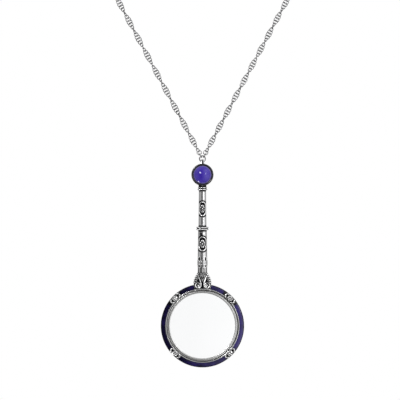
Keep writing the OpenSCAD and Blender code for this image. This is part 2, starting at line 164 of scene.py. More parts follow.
def build_piece(name: str, shells: Iterable[Shell], finishes: Sequence[Material], sharp: float = 50) -> Piece:
    """Makes one object at the origin from closed shells.

    Args:
        name: Name of the piece.
        shells: The shells in millimetres.
        finishes: Materials, numbered as in the shells.
        sharp: Angle in degrees past which an edge stays sharp.

    Returns:
        The linked object.
    """
    points, faces, recess, numbers, base = [], [], [], [], 0
    for shell in shells:
        shell.outward()
        points.append(shell.points)
        recess.append(np.zeros(len(shell.points)) if shell.recess is None else shell.recess)
        for group in shell.faces:
            faces.extend((group + base).tolist())
            numbers.extend([shell.finish] * len(group))
        base += len(shell.points)
    mesh = bpy.data.meshes.new(name)
    mesh.from_pydata((np.concatenate(points) * MM).tolist(), [], faces)
    values = mesh.attributes.new("recess", "FLOAT", "POINT")
    values.data.foreach_set("value", np.concatenate(recess).astype(np.float32))
    mesh.polygons.foreach_set("material_index", np.array(numbers, np.int32))
    for finish in finishes:
        mesh.materials.append(finish)
    mesh.shade_smooth()
    mesh.set_sharp_from_angle(angle=math.radians(sharp))
    mesh.update()
    piece = bpy.data.objects.new(name, mesh)
    bpy.context.scene.collection.objects.link(piece)
    return piece


def grid_quads(rows: int, columns: int, wrap_rows: bool = False, wrap_columns: bool = False) -> Array:
    """Quads of a grid whose vertices run row by row.

    Args:
        rows: Number of rows.
        columns: Vertices in a row.
        wrap_rows: Whether the last row joins the first.
        wrap_columns: Whether a row's last vertex joins its first.

    Returns:
        One row of four vertex numbers for each quad.
    """
    i = np.arange(rows if wrap_rows else rows - 1)[:, None]
    j = np.arange(columns if wrap_columns else columns - 1)[None, :]
    following, beside = (i + 1) % rows, (j + 1) % columns
    corners = [i * columns + j, i * columns + beside, following * columns + beside, following * columns + j]
    return np.stack([corner.ravel() for corner in corners], axis=1)


def full_turn(count: int) -> Array:
    """Evenly spaced angles of a full turn, in radians."""
    return np.linspace(0, 2 * math.pi, count, endpoint=False)


def ramp(value: Array | float, start: float, width: float) -> Array | float:
    """0 up to a start, rising evenly to 1 over a width."""
    return np.clip((value - start) / width, 0, 1)


def as_rows(x: Array, y: Array, z: Array | float) -> Array:
    """Grids of x, y and z as one row of three for each point."""
    return np.stack(np.broadcast_arrays(x, y, z), axis=-1).reshape(-1, 3)


def ball_radius(half: float, rise: float) -> float:
    """Radius of the ball whose cap has a half width and a rise."""
    return (half**2 + rise**2) / (2 * rise)


def dome_arc(
    radius: float, rise: float, top: float, steps: int, share: float = 1.0
) -> list[tuple[float, float]]:
    """Radius and height of places on a round dome, from its foot to its top.

    Args:
        radius: Radius of its foot.
        rise: Height of the dome.
        top: Height of its top.
        steps: Number of places.
        share: Share of the arc that is made, from the top.

    Returns:
        Pairs of radius and height.
    """
    ball = ball_radius(radius, rise)
    angles = np.linspace(math.asin(radius / ball) * share, 0, steps)
    return [(ball * math.sin(a), top - ball + ball * math.cos(a)) for a in angles]


def fan(rim: Array, middle: int) -> Array:
    """Triangles that close a ring of vertices to one in its middle."""
    return np.stack([rim, np.roll(rim, -1), np.full(len(rim), middle)], axis=1)


def rounded(outline: Sequence[tuple[float, ...]], radius: float, steps: int = 6) -> Array:
    """A closed outline with its corners rounded.

    Args:
        outline: Corner points, some with a radius of their own as a third number.
        radius: Length taken off each side of a corner, at most 0.49 of its shorter side.
        steps: Points on each rounded corner.

    Returns:
        The finer outline.
    """
    corners = np.array([corner[:2] for corner in outline], float)
    cuts = [corner[2] if len(corner) > 2 else radius for corner in outline]
    made = []
    for before, corner, after, wanted in zip(np.roll(corners, 1, 0), corners, np.roll(corners, -1, 0), cuts):
        back, ahead = before - corner, after - corner
        cut = min(wanted, 0.49 * np.linalg.norm(back), 0.49 * np.linalg.norm(ahead))
        start = corner + back / np.linalg.norm(back) * cut
        end = corner + ahead / np.linalg.norm(ahead) * cut
        for t in np.linspace(0, 1, steps):
            made.append((1 - t) ** 2 * start + 2 * t * (1 - t) * corner + t * t * end)
    return np.array(made)


def refined(outline: Array, step: float) -> Array:
    """A closed outline with no side longer than a step.

    Args:
        outline: Its corners.
        step: The longest side.

    Returns:
        The finer outline.
    """
    made = []
    for start, end in zip(outline, np.roll(outline, -1, 0)):
        count = max(1, math.ceil(float(np.linalg.norm(end - start)) / step))
        made.extend(start + (end - start) * k / count for k in range(count))
    return np.array(made)


def capped(body: Array, rows: int, columns: int, poles: Array) -> Shell:
    """Closes rings of points by a pole before the first ring and one past the last.

    Args:
        body: Points of the rings, ring by ring.
        rows: Number of rings.
        columns: Points in a ring.
        poles: The two poles.

    Returns:
        The shell.
    """
    first = np.arange(columns)
    last = first + (rows - 1) * columns
    ends = np.concatenate([fan(first, len(body))[:, ::-1], fan(last, len(body) + 1)])
    return Shell(np.concatenate([body, poles]), [grid_quads(rows, columns, False, True), ends])


def turned_ring(outline: Array, segments: int) -> Shell:
    """A closed outline of radius and height, turned all the way round."""
    angles = full_turn(segments)
    return Shell(swept(outline, angles), [grid_quads(segments, len(outline), True, True)])


def turned_arc(outline: Array, start: float, end: float, segments: int) -> Shell:
    """A closed outline of radius and height, turned from one angle to another, with closed ends.

    Args:
        outline: Rows of radius and height.
        start: First angle, in degrees.
        end: Last angle, in degrees.
        segments: Steps along the arc.

    Returns:
        The shell.
    """
    angles = np.radians(np.linspace(start, end, segments + 1))
    poles = swept(outline.mean(0)[None, :], angles[[0, -1]])
    return capped(swept(outline, angles), segments + 1, len(outline), poles)


def turned_solid(outline: Array, segments: int) -> Shell:
    """An open outline from axis to axis, turned all the way round with a pole at each end.

    Args:
        outline: Rows of radius and height.
        segments: Steps round the axis.

    Returns:
        The shell.
    """
    angles = full_turn(segments)
    inner = outline[1:-1]
    count = len(inner)
    points = np.concatenate([swept(inner, angles), [[0, 0, outline[0][1]], [0, 0, outline[-1][1]]]])
    body = grid_quads(segments, count, True, False)
    first = np.arange(segments) * count
    ends = np.concatenate([fan(first, len(points) - 2), fan(first + count - 1, len(points) - 1)[:, ::-1]])
    return Shell(points, [body, ends])


def sandwich(upper: Array, lower: Array, rows: int, columns: int) -> Shell:
    """A closed shell between two grids of points with a common rim.

    Args:
        upper: Points of the upper grid, row by row.
        lower: Points of the lower grid.
        rows: Rows of each grid.
        columns: Columns of each grid.

    Returns:
        The shell.
    """
    count = rows * columns
    numbers = np.arange(count).reshape(rows, columns)
    rim = np.concatenate([numbers[0], numbers[1:, -1], numbers[-1, -2::-1], numbers[-2:0:-1, 0]])
    wall = np.stack([rim, rim + count, np.roll(rim, -1) + count, np.roll(rim, -1)], axis=1)
    quads = grid_quads(rows, columns)
    return Shell(np.concatenate([upper, lower]), [np.concatenate([quads, quads[:, ::-1] + count, wall])])


def swept(outline: Array, angles: Array) -> Array:
    """Rows of points of an outline of radius and height, at each angle in radians."""
    radius, height = outline[:, 0], outline[:, 1]
    return as_rows(np.outer(np.cos(angles), radius), np.outer(np.sin(angles), radius), height)


def tube(path: Array, radii: Array, sides: int = 12) -> Shell:
    """A round tube along a path, with a radius at each point and domed ends.

    Args:
        path: Rows of x, y and z.
        radii: Radius at each row.
        sides: Vertices round the tube.

    Returns:
        The shell.
    """
    ahead = np.gradient(path, axis=0)
    ahead /= np.linalg.norm(ahead, axis=1, keepdims=True)
    across = np.cross(ahead, np.array([0.0, 0.0, 1.0]))
    across /= np.maximum(np.linalg.norm(across, axis=1, keepdims=True), 1e-9)
    up = np.cross(across, ahead)
    turn = full_turn(sides)
    ring = np.cos(turn)[None, :, None] * across[:, None] + np.sin(turn)[None, :, None] * up[:, None]
    body = (path[:, None] + ring * radii[:, None, None]).reshape(-1, 3)
    tips = [path[0] - ahead[0] * radii[0] * 0.7, path[-1] + ahead[-1] * radii[-1] * 0.7]
    return capped(body, len(path), sides, np.array(tips))


def ellipsoid(centre: Sequence[float], axes: Sequence[float], tilt: float = 0, steps: int = 16) -> Shell:
    """A rounded lump, tilted in the plane of the drawing.

    Args:
        centre: Its middle.
        axes: Half its length along x, y and height before it is tilted.
        tilt: Angle in degrees.
        steps: Half the number of its segments.

    Returns:
        The shell.
    """
    angle = np.linspace(-math.pi / 2, math.pi / 2, steps + 1)
    ball = turned_solid(np.stack([np.cos(angle), np.sin(angle)], axis=1), 2 * steps)
    return Shell(ball.points * np.asarray(axes), ball.faces).turned_flat(tilt).moved(centre)


def spline(knots: Sequence[Sequence[float]], per_span: int) -> Array:
    """Points of a smooth curve through knots, with mirrored knots past its ends.

    Args:
        knots: Rows of coordinates.
        per_span: Steps from one knot to the next.

    Returns:
        Rows of coordinates, ends included.
    """
    p = np.asarray(knots, float)
    p = np.concatenate([[2 * p[0] - p[1]], p, [2 * p[-1] - p[-2]]])
    return catmull(p, per_span)


def catmull(p: Array, per_span: int) -> Array:
    """Points of a Catmull-Rom curve from its second knot to the one before its last.

    Args:
        p: Rows of coordinates.
        per_span: Steps from one knot to the next.

    Returns:
        Rows of coordinates.
    """
    made = []
    for a, b, c, d in zip(p, p[1:], p[2:], p[3:]):
        for k in range(per_span):
            t = k / per_span
            made.append(
                0.5 * (2 * b + (c - a) * t + (2 * a - 5 * b + 4 * c - d) * t * t + (3 * b - a - 3 * c
                + d) * t**3)
            )
    made.append(p[-2])
    return np.array(made)


def softened(field_values: Array, spread: float, axis: int, wrap: bool) -> Array:
    """A grid of values blurred along one axis.

    Args:
        field_values: The grid.
        spread: Width of the blur, in cells.
        axis: Axis to blur along.
        wrap: Whether the grid closes on itself along that axis.

    Returns:
        The blurred grid.
    """
    reach = max(1, math.ceil(2.5 * spread))
    padding = [(0, 0)] * field_values.ndim
    padding[axis] = (reach, reach)
    padded = np.pad(field_values, padding, mode="wrap" if wrap else "edge")
    total, weight_sum = np.zeros_like(field_values), 0.0
    size = field_values.shape[axis]
    for k in range(2 * reach + 1):
        weight = math.exp(-0.5 * ((k - reach) / spread) ** 2)
        total += weight * np.take(padded, np.arange(k, k + size), axis=axis)
        weight_sum += weight
    return total / weight_sum


def wear(height: Array, spread: Sequence[float], wrap_columns: bool, depth: float) -> Array:
    """How each place of a relief lies to its surroundings: 1 is a deep recess, -1 a rubbed crest.

    Args:
        height: Grid of heights, in millimetres.
        spread: Width of the surroundings along rows and columns, in cells.
        wrap_columns: Whether the grid closes on itself along its columns.
        depth: Depth in millimetres that counts as 1.

    Returns:
        A grid of values.
    """
    around = softened(softened(height, spread[0], 0, False), spread[1], 1, wrap_columns)
    return np.clip((around - height) / depth, -1, 1)


def dome(distance: Array, reach: float) -> Array:
    """A rounded rise: 0 outside, and 1 where the distance inside the edge is the reach."""
    t = np.clip(distance / reach, 0, 1)
    return np.sqrt(1 - (1 - t) ** 2)


def bump(distance: Array, reach: float) -> Array:
    """A soft bump: 1 at no distance, falling to 0 at the reach."""
    t = np.clip(np.abs(distance) / reach, 0, 1)
    return 0.5 + 0.5 * np.cos(math.pi * t)


# ---- places


@dataclass(frozen=True)
class Place:
    """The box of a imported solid, in millimetres."""

    low: Array
    high: Array

    @classmethod
    def of(cls, node: str) -> "Place":
        """Reads a node's box from the frame."""
        low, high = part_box(node)
        return cls(np.array(low) / MM, np.array(high) / MM)

    @property
    def middle(self) -> Array:
        """Centre of the box."""
        return (self.low + self.high) / 2

    @property
    def size(self) -> Array:
        """Side lengths of the box."""
        return self.high - self.low

    @property
    def radius(self) -> float:
        """Half its width."""
        return float(self.size[0] / 2)


# ---- shader work


class Canvas:
    """A node tree that is being drawn, with short ways to add and join nodes."""

    def __init__(self, tree: Tree) -> None:
        """Keeps the tree to add nodes to."""
        self.tree = tree

    def add(self, kind: str, inputs: dict | None = None, **settings: object) -> Node:
        """Adds a node.

        Args:
            kind: Blender's name of the node type.
            inputs: Values or output sockets by input name or number.
            settings: Properties of the node.

        Returns:
            The new node.
        """
        node = self.tree.nodes.new(kind)
        for name, value in settings.items():
            setattr(node, name, value)
        for key, value in (inputs or {}).items():
            if isinstance(value, Socket):
                self.tree.links.new(value, node.inputs[key])
            else:
                node.inputs[key].default_value = value
        return node

    def math(self, operation: str, *values: object, clamp: bool = False) -> Socket:
        """Adds a Math node and gives its result."""
        return self.add(
            "ShaderNodeMath", dict(enumerate(values)), operation=operation, use_clamp=clamp
        ).outputs[0]

    def mix(self, factor: object, first: object, second: object) -> Socket:
        """Adds a colour mix and gives its result."""
        return self.add("ShaderNodeMix", {0: factor, 6: first, 7: second}, data_type="RGBA").outputs[2]

    def join(self, value: Socket, node: Node, socket: str) -> None:
        """Joins an output to an input of a node."""
        self.tree.links.new(value, node.inputs[socket])

    def place(self) -> Socket:
        """Adds the Object coordinates."""
        return self.add("ShaderNodeTexCoord").outputs["Object"]

    def noise(self, place: object, scale: object, detail: float, roughness: float = 0.5) -> Socket:
        """Adds a noise texture and gives its values."""
        values = {"Vector": place, "Scale": scale, "Detail": detail, "Roughness": roughness}
        return self.add("ShaderNodeTexNoise", values).outputs[0]

    def spread(
        self, value: object, low: float, high: float, to_low: object = 0.0, to_high: object = 1.0,
        curve: str = "LINEAR"
    ) -> Socket:
        """Adds a clamped Map Range node and gives its result."""
        inputs = {0: value, 1: low, 2: high, 3: to_low, 4: to_high}
        return self.add("ShaderNodeMapRange", inputs, interpolation_type=curve).outputs[0]


def new_group(
    name: str, kind: str, inputs: dict[str, str], outputs: dict[str, str]
) -> tuple[Tree, Canvas, Sockets, Node]:
    """Starts a node group with named sockets.

    Args:
        name: Name of the group.
        kind: Type of the tree.
        inputs: Sorts of its inputs by name.
        outputs: Sorts of its outputs by name.

    Returns:
        The tree, its canvas, the sockets of its given values and its output node.
    """
    tree = bpy.data.node_groups.new(name, kind)
    for direction, rows in (("INPUT", inputs), ("OUTPUT", outputs)):
        for label, sort in rows.items():
            tree.interface.new_socket(name=label, in_out=direction, socket_type=f"NodeSocket{sort}")
    canvas = Canvas(tree)
    return tree, canvas, canvas.add("NodeGroupInput").outputs, canvas.add("NodeGroupOutput")


class Effects:
    """Shader groups that several finishes share, each built once."""

    def __init__(self) -> None:
        """Builds the groups."""
        self.patina = self._patina()
        self.hairlines = self._hairlines()

    @staticmethod
    def _patina() -> Tree:
        """Blackened recesses, grey ground and crests that are rubbed bright.

        Returns:
            A group with the inputs Recess, Crest, Ground, Dark, Cover, Grain and Satin, and the
            outputs Color, Roughness and Height.
        """
        tree, canvas, given, result = new_group("patina", "ShaderNodeTree", 
            {
                "Recess": "Float", "Crest": "Color", "Ground": "Color", "Dark": "Color", "Cover": "Float",
                "Grain": "Float", "Satin": "Float"
            },
            {"Color": "Color", "Roughness": "Float", "Height": "Float"},
        )
        place = canvas.place()
        blotch = canvas.noise(place, given["Grain"], 4.0, 0.6)
        fine_scale = canvas.math("MULTIPLY", given["Grain"], 4.0)
        fine = canvas.noise(place, fine_scale, 3.0)
        drift = canvas.math("MULTIPLY", canvas.math("SUBTRACT", blotch, 0.5), given["Cover"])
        level = canvas.math("ADD", given["Recess"], drift)
        black = canvas.spread(level, 0.06, 0.8, curve="SMOOTHSTEP")
        crest = canvas.spread(level, -0.1, -0.75)
        tone = canvas.mix(crest, given["Ground"], given["Crest"])
        canvas.join(canvas.mix(black, tone, given["Dark"]), result, "Color")
        rough = canvas.math(
            "ADD", canvas.spread(black, 0, 1, 0.2, 0.5), canvas.spread(fine, 0.3, 0.7, -0.05, 0.06)
        )
        rough = canvas.math("ADD", rough, given["Satin"])
        canvas.join(canvas.math("SUBTRACT", rough, canvas.math("MULTIPLY", crest, 0.05)), result, "Roughness")
        canvas.join(canvas.math("ADD", blotch, canvas.math("MULTIPLY", fine, 0.5)), result, "Height")
        return tree

    @staticmethod
    def _hairlines() -> Tree:
        """Fine wear on a polished surface.

        Returns:
            A group with the inputs Scale, Low and High, and the outputs Roughness and Height.
        """
        tree, canvas, given, result = new_group("hairlines", "ShaderNodeTree", 
            {"Scale": "Float", "Low": "Float", "High": "Float"},
            {"Roughness": "Float", "Height": "Float"},
        )
        place = canvas.place()
        stretched = canvas.add(
            "ShaderNodeMapping", {"Vector": place, "Rotation": (0.3, 0.2, 0.6), "Scale": (1.0, 1.0, 6.0)}
        )
        lines = canvas.noise(stretched.outputs[0], given["Scale"], 5.0, 0.65)
        rough = canvas.spread(lines, 0.3, 0.7, given["Low"], given["High"])
        canvas.join(rough, result, "Roughness")
        canvas.join(lines, result, "Height")
        return tree


@dataclass(frozen=True)
class Finish:
    """What every finish shares.

    Attributes:
        name: Name of the material.
    """

    name: str

    def start(self, **values: object) -> tuple[Material, Canvas, Node]:
        """Makes a material with a Principled shader.

        Args:
            values: Values for the shader's own sockets, with underscores for blanks.

        Returns:
            The material, its canvas and its shader.
        """
        material = bpy.data.materials.new(self.name)
        material.use_nodes = True
        canvas = Canvas(material.node_tree)
        shader = material.node_tree.nodes["Principled BSDF"]
        for label, value in values.items():
            shader.inputs[label.replace("_", " ")].default_value = value
        return material, canvas, shader

    @staticmethod
    def roughen(canvas: Canvas, shader: Node, height: Socket, strength: float, depth: float) -> None:
        """Adds a bump to a shader.

        Args:
            canvas: The material's canvas.
            shader: The shader.
            height: Heights from 0 to 1.
            strength: Strength of the bump.
            depth: Depth of the bump, in millimetres.
        """
        relief = canvas.add(
            "ShaderNodeBump", {"Strength": strength, "Distance": depth * MM, "Height": height}
        )
        canvas.join(relief.outputs[0], shader, "Normal")


@dataclass(frozen=True)
class AgedSilver(Finish):
    """Cast silver with blackened recesses and rubbed edges."""

    crest: Colour = (0.93, 0.93, 0.93, 1)
    ground: Colour = (0.64, 0.64, 0.645, 1)
    dark: Colour = (0.008, 0.008, 0.01, 1)
    cover: float = 0.3
    grain: float = 1100.0
    satin: float = 0.0

    def material(self, effects: Effects) -> Material:
        """Builds the finish.

        Args:
            effects: The shared groups.

        Returns:
            The material.
        """
        material, canvas, shader = self.start(Metallic=1.0)
        recess = canvas.add("ShaderNodeAttribute", attribute_name="recess").outputs["Fac"]
        tones = {
            "Recess": recess, "Crest": self.crest, "Ground": self.ground, "Dark": self.dark,
            "Cover": self.cover, "Grain": self.grain, "Satin": self.satin,
        }
        patina = canvas.add("ShaderNodeGroup", tones, node_tree=effects.patina)
        canvas.join(patina.outputs["Color"], shader, "Base Color")
        canvas.join(patina.outputs["Roughness"], shader, "Roughness")
        self.roughen(canvas, shader, patina.outputs["Height"], 0.25, 0.03)
        return material


@dataclass(frozen=True)
class PolishedMetal(Finish):
    """Plain metal with fine wear."""

    colour: Colour = (0.8, 0.8, 0.8, 1)
    low: float = 0.14
    high: float = 0.26
    scale: float = 700.0
    metallic: float = 1.0
    coat: float = 0.0

    def material(self, effects: Effects) -> Material:
        """Builds the finish.

        Args:
            effects: The shared groups.

        Returns:
            The material.
        """
        material, canvas, shader = self.start(
            Metallic=self.metallic, Coat_Weight=self.coat, Coat_Roughness=0.06
        )
        values = {"Scale": self.scale, "Low": self.low, "High": self.high}
        lines = canvas.add("ShaderNodeGroup", values, node_tree=effects.hairlines)
        tone = canvas.spread(lines.outputs["Height"], 0.3, 0.7)
        darker = tuple(0.82 * c for c in self.colour[:3]) + (1,)
        canvas.join(canvas.mix(tone, darker, self.colour), shader, "Base Color")
        canvas.join(lines.outputs["Roughness"], shader, "Roughness")
        self.roughen(canvas, shader, lines.outputs["Height"], 0.12, 0.02)
        return material


@dataclass(frozen=True)
class Enamel(Finish):
    """Glossy poured enamel, nearly black with violet clouds; painted light makes it lighter to the right,
    painted shade darkens it by the plaques.
    """

    deep: Colour = (0.004, 0.003, 0.018, 1)
    light: Colour = (0.024, 0.015, 0.115, 1)
    # Colour of the painted shade at the ends of a fill beside the plaques.
    shade: Colour = (0.001, 0.001, 0.002, 1)
    # Painted light: how much lighter the enamel is painted towards the right side.
    lean: float = 13.0

    def material(self) -> Material:
        """Builds the finish."""
        material, canvas, shader = self.start(Metallic=0.0, IOR=1.5)
        place = canvas.place()
        cloud = canvas.noise(place, 260.0, 3.0, 0.55)
        across = canvas.add("ShaderNodeSeparateXYZ", {0: place}).outputs[0]
        # Painted light: the enamel gets lighter towards the right side, along x.
        level = canvas.math("MULTIPLY_ADD", across, self.lean, cloud)
        tone = canvas.mix(canvas.spread(level, 0.3, 0.78), self.deep, self.light)
        # Painted shade: the recess attribute darkens the ends of a fill beside the plaques.
        ends = canvas.add("ShaderNodeAttribute", attribute_name="recess").outputs["Fac"]
        canvas.join(canvas.mix(ends, tone, self.shade), shader, "Base Color")
        ripple = canvas.noise(place, 420.0, 2.0)
        canvas.join(canvas.spread(ripple, 0.3, 0.7, 0.06, 0.14), shader, "Roughness")
        self.roughen(canvas, shader, ripple, 0.35, 0.05)
        return material


@dataclass(frozen=True)
class Stone(Finish):
    """A polished violet cabochon with a painted reflection: a lighter ring at its edge."""

    centre: tuple[float, float, float]
    radius: float
    body: Colour = (0.038, 0.02, 0.285, 1)
    # Colour of the painted reflection of the girdle in the ring at the stone's edge.
    edge: Colour = (0.245, 0.225, 0.32, 1)

    def material(self) -> Material:
        """Builds the finish."""
        material, canvas, shader = self.start(Metallic=0.0, IOR=1.42)
        place = canvas.place()
        flat = canvas.add(
            "ShaderNodeMapping", {"Vector": place, "Location": tuple(-c * MM for c in self.centre)}
        )
        parts = canvas.add("ShaderNodeSeparateXYZ", {0: flat.outputs[0]})
        x, z = parts.outputs[0], parts.outputs[2]
        span = canvas.math(
            "SQRT", canvas.math("ADD", canvas.math("MULTIPLY", x, x), canvas.math("MULTIPLY", z, z))
        )
        # Painted reflection: a lighter ring near the stone's edge, where the girdle shows.
        ring = canvas.spread(span, self.radius * 0.86 * MM, self.radius * 0.99 * MM, 0.0, 0.75)
        cloud = canvas.noise(place, 330.0, 3.0)
        tone = canvas.mix(canvas.spread(cloud, 0.3, 0.7, 0, 0.4), self.body, (0.075, 0.045, 0.38, 1))
        canvas.join(canvas.mix(ring, tone, self.edge), shader, "Base Color")
        canvas.join(canvas.spread(cloud, 0.3, 0.7, 0.04, 0.08), shader, "Roughness")
        return material


@dataclass(frozen=True)
class Glass(Finish):
    """Clear polished glass with barely visible marks."""

    tint: Colour = (0.985, 0.99, 0.995, 1)

    def material(self) -> Material:
        """Builds the finish."""
        material, canvas, shader = self.start(
            Metallic=0.0, Transmission_Weight=1.0, IOR=1.5, Base_Color=self.tint
        )
        place = canvas.place()
        marks = canvas.noise(place, 900.0, 2.0)
        canvas.join(canvas.spread(marks, 0.6, 0.8, 0.0, 0.02), shader, "Roughness")
        return material


@dataclass(frozen=True)
class PaleFloor(Finish):
    """Matt white paper."""

    tone: float = 0.92

    def material(self) -> Material:
        """Builds the finish."""
        return self.start(Metallic=0.0, Roughness=0.8, Base_Color=(self.tone, self.tone, self.tone, 1))[0]


class Palette:
    """All finishes of the necklace."""

    def __init__(self, stone: Place) -> None:
        """Builds the materials.

        Args:
            stone: Box of the stone.
        """
        effects = Effects()
        self.chain = PolishedMetal(
            "chain silver", colour=(0.22, 0.22, 0.225, 1), low=0.14, high=0.24
        ).material(effects)
        self.cast = AgedSilver("antique silver").material(effects)
        self.rim = AgedSilver(
            "satin rim silver", ground=(0.72, 0.72, 0.71, 1), cover=0.1, grain=1600.0, satin=0.1
        ).material(effects)
        self.black = PolishedMetal(
            "black enamelled cup", colour=(0.012, 0.012, 0.015, 1), low=0.1, high=0.2, metallic=0.0, coat=0.3
        ).material(effects)
        self.stone = Stone("violet cabochon", centre=tuple(stone.middle), radius=stone.radius).material()
        self.enamel = Enamel("violet enamel").material()
        self.glass = Glass("lens glass").material()


# ---- chain and rings


@dataclass(frozen=True)
class Route:
    """The middle line of the necklace's right half, from the jump ring to the nape.

    Attributes:
        knots: Places in millimetres from the middle of the jump ring: sideways, back, up.
        per_span: Steps from one knot to the next.
    """

    knots: tuple[tuple[float, float, float], ...] = (
        (0, 0, 0), (16, 0, 30), (32, 0, 60), (48, 0, 90), (64, 0, 120), (80, 3, 149),
        (93, 17, 174), (99, 42, 190), (94, 74, 199), (74, 103, 204), (40, 121, 205), (0, 127, 205),
    )
    per_span: int = 8

    def line(self, side: Side) -> Array:
        """Points of the half on one side, from the jump ring's middle.

        Args:
            side: Side of the necklace.

        Returns:
            Rows of x, y and z.
        """
        p = np.asarray(self.knots, float)
        beyond = p[-2] * [-1, 1, 1]
        points = catmull(np.concatenate([[2 * p[0] - p[1]], p, [beyond]]), self.per_span)
        return points * [side.value, 1, 1]

    def evenly(self, side: Side, start: float, tail: float, pitch: float) -> Array:
        """Points at an even pitch.

        Args:
            side: Side of the necklace.
            start: Length along the route of the first point.
            tail: Length from the last point to the nape.
            pitch: Wanted distance between points.

        Returns:
            Rows of x, y and z from the jump ring's middle.
        """
        line = self.line(side)
        reach = np.concatenate([[0], np.cumsum(np.linalg.norm(np.diff(line, axis=0), axis=1))])
        count = round((reach[-1] - tail - start) / pitch) + 1
        stations = np.linspace(start, reach[-1] - tail, count)
        return np.stack([np.interp(stations, reach, line[:, k]) for k in range(3)], axis=1)


class LinkTree:
    """A Geometry Nodes tree that threads oval wire links on a path, each turned from the last."""

    INPUTS = {
        "Geometry": "Geometry", "Link Width": "Float", "Link Length": "Float", "Corner Radius": "Float",
        "Wire Radius": "Float", "Corner Steps": "Int", "Wire Sides": "Int", "First Turn": "Float",
        "Turn Per Link": "Float", "Lead Turn": "Float", "Lead Links": "Float", "Finish": "Material",
    }

    def __init__(self) -> None:
        """Builds the tree."""
        self.tree, canvas, given, result = new_group(
            "threaded links", "GeometryNodeTree", self.INPUTS, {"Geometry": "Geometry"}
        )
        curve = canvas.add("GeometryNodeMeshToCurve", {"Mesh": given["Geometry"]})
        level = canvas.add("GeometryNodeSetCurveNormal", {"Curve": curve.outputs[0]}, mode="Z_UP")
        stations = canvas.add("GeometryNodeCurveToPoints", {"Curve": level.outputs[0]}, mode="EVALUATED")
        box = canvas.add(
            "GeometryNodeCurvePrimitiveQuadrilateral",
            {"Width": given["Link Width"], "Height": given["Link Length"]}
        )
        oval = canvas.add(
            "GeometryNodeFilletCurve",
            {0: box.outputs[0], "Radius": given["Corner Radius"], "Count": given["Corner Steps"]}, mode="POLY"
        )
        wire = canvas.add(
            "GeometryNodeCurvePrimitiveCircle",
            {"Resolution": given["Wire Sides"], "Radius": given["Wire Radius"]}
        )
        link = canvas.add(
            "GeometryNodeCurveToMesh", {"Curve": oval.outputs[0], "Profile Curve": wire.outputs[0]}
        )
        upright = canvas.add(
            "GeometryNodeTransform", {"Geometry": link.outputs[0], "Rotation": (math.pi / 2, 0, 0)}
        )
        index = canvas.add("GeometryNodeInputIndex").outputs[0]
        steady = canvas.math("MULTIPLY_ADD", index, given["Turn Per Link"], given["First Turn"])
        ease = canvas.math(
            "MAXIMUM", canvas.math("SUBTRACT", 1.0, canvas.math("DIVIDE", index, given["Lead Links"])), 0.0
        )
        angle = canvas.math("MULTIPLY_ADD", ease, given["Lead Turn"], steady)
        turn = canvas.add("FunctionNodeAxisAngleToRotation", {"Axis": (0, 0, 1), "Angle": angle})
        aimed = canvas.add(
            "FunctionNodeRotateRotation", {0: stations.outputs["Rotation"], 1: turn.outputs[0]},
            rotation_space="LOCAL"
        )
        placed = canvas.add(
            "GeometryNodeInstanceOnPoints",
            {
                "Points": stations.outputs["Points"], "Instance": upright.outputs[0],
                "Rotation": aimed.outputs[0]
            }
        )
        real = canvas.add("GeometryNodeRealizeInstances", {0: placed.outputs[0]})
        smooth = canvas.add("GeometryNodeSetShadeSmooth", {0: real.outputs[0]})
        dressed = canvas.add(
            "GeometryNodeSetMaterial", {"Geometry": smooth.outputs[0], "Material": given["Finish"]}
        )
        canvas.join(dressed.outputs[0], result, "Geometry")

    def grow(self, name: str, path: Array, values: dict[str, object]) -> Piece:
        """Runs the tree on a path and keeps its result as a plain mesh.

        Args:
            name: Name of the piece.
            path: Rows of x, y and z, in millimetres.
            values: The tree's inputs by name, lengths in metres and angles in radians.

        Returns:
            The object at the origin.
        """
        mesh = bpy.data.meshes.new(name)
        mesh.from_pydata((path * MM).tolist(), [(k, k + 1) for k in range(len(path) - 1)], [])
        piece = bpy.data.objects.new(name, mesh)
        bpy.context.scene.collection.objects.link(piece)
        modifier = piece.modifiers.new("links", "NODES")
        modifier.node_group = self.tree
        for socket in self.tree.interface.items_tree:
            if socket.in_out == "INPUT" and socket.name in values:
                modifier[socket.identifier] = values[socket.name]
        bpy.context.view_layer.update()
        graph = bpy.context.evaluated_depsgraph_get()
        grown = bpy.data.meshes.new_from_object(piece.evaluated_get(graph), depsgraph=graph)
        piece.modifiers.clear()
        piece.data = grown
        return piece


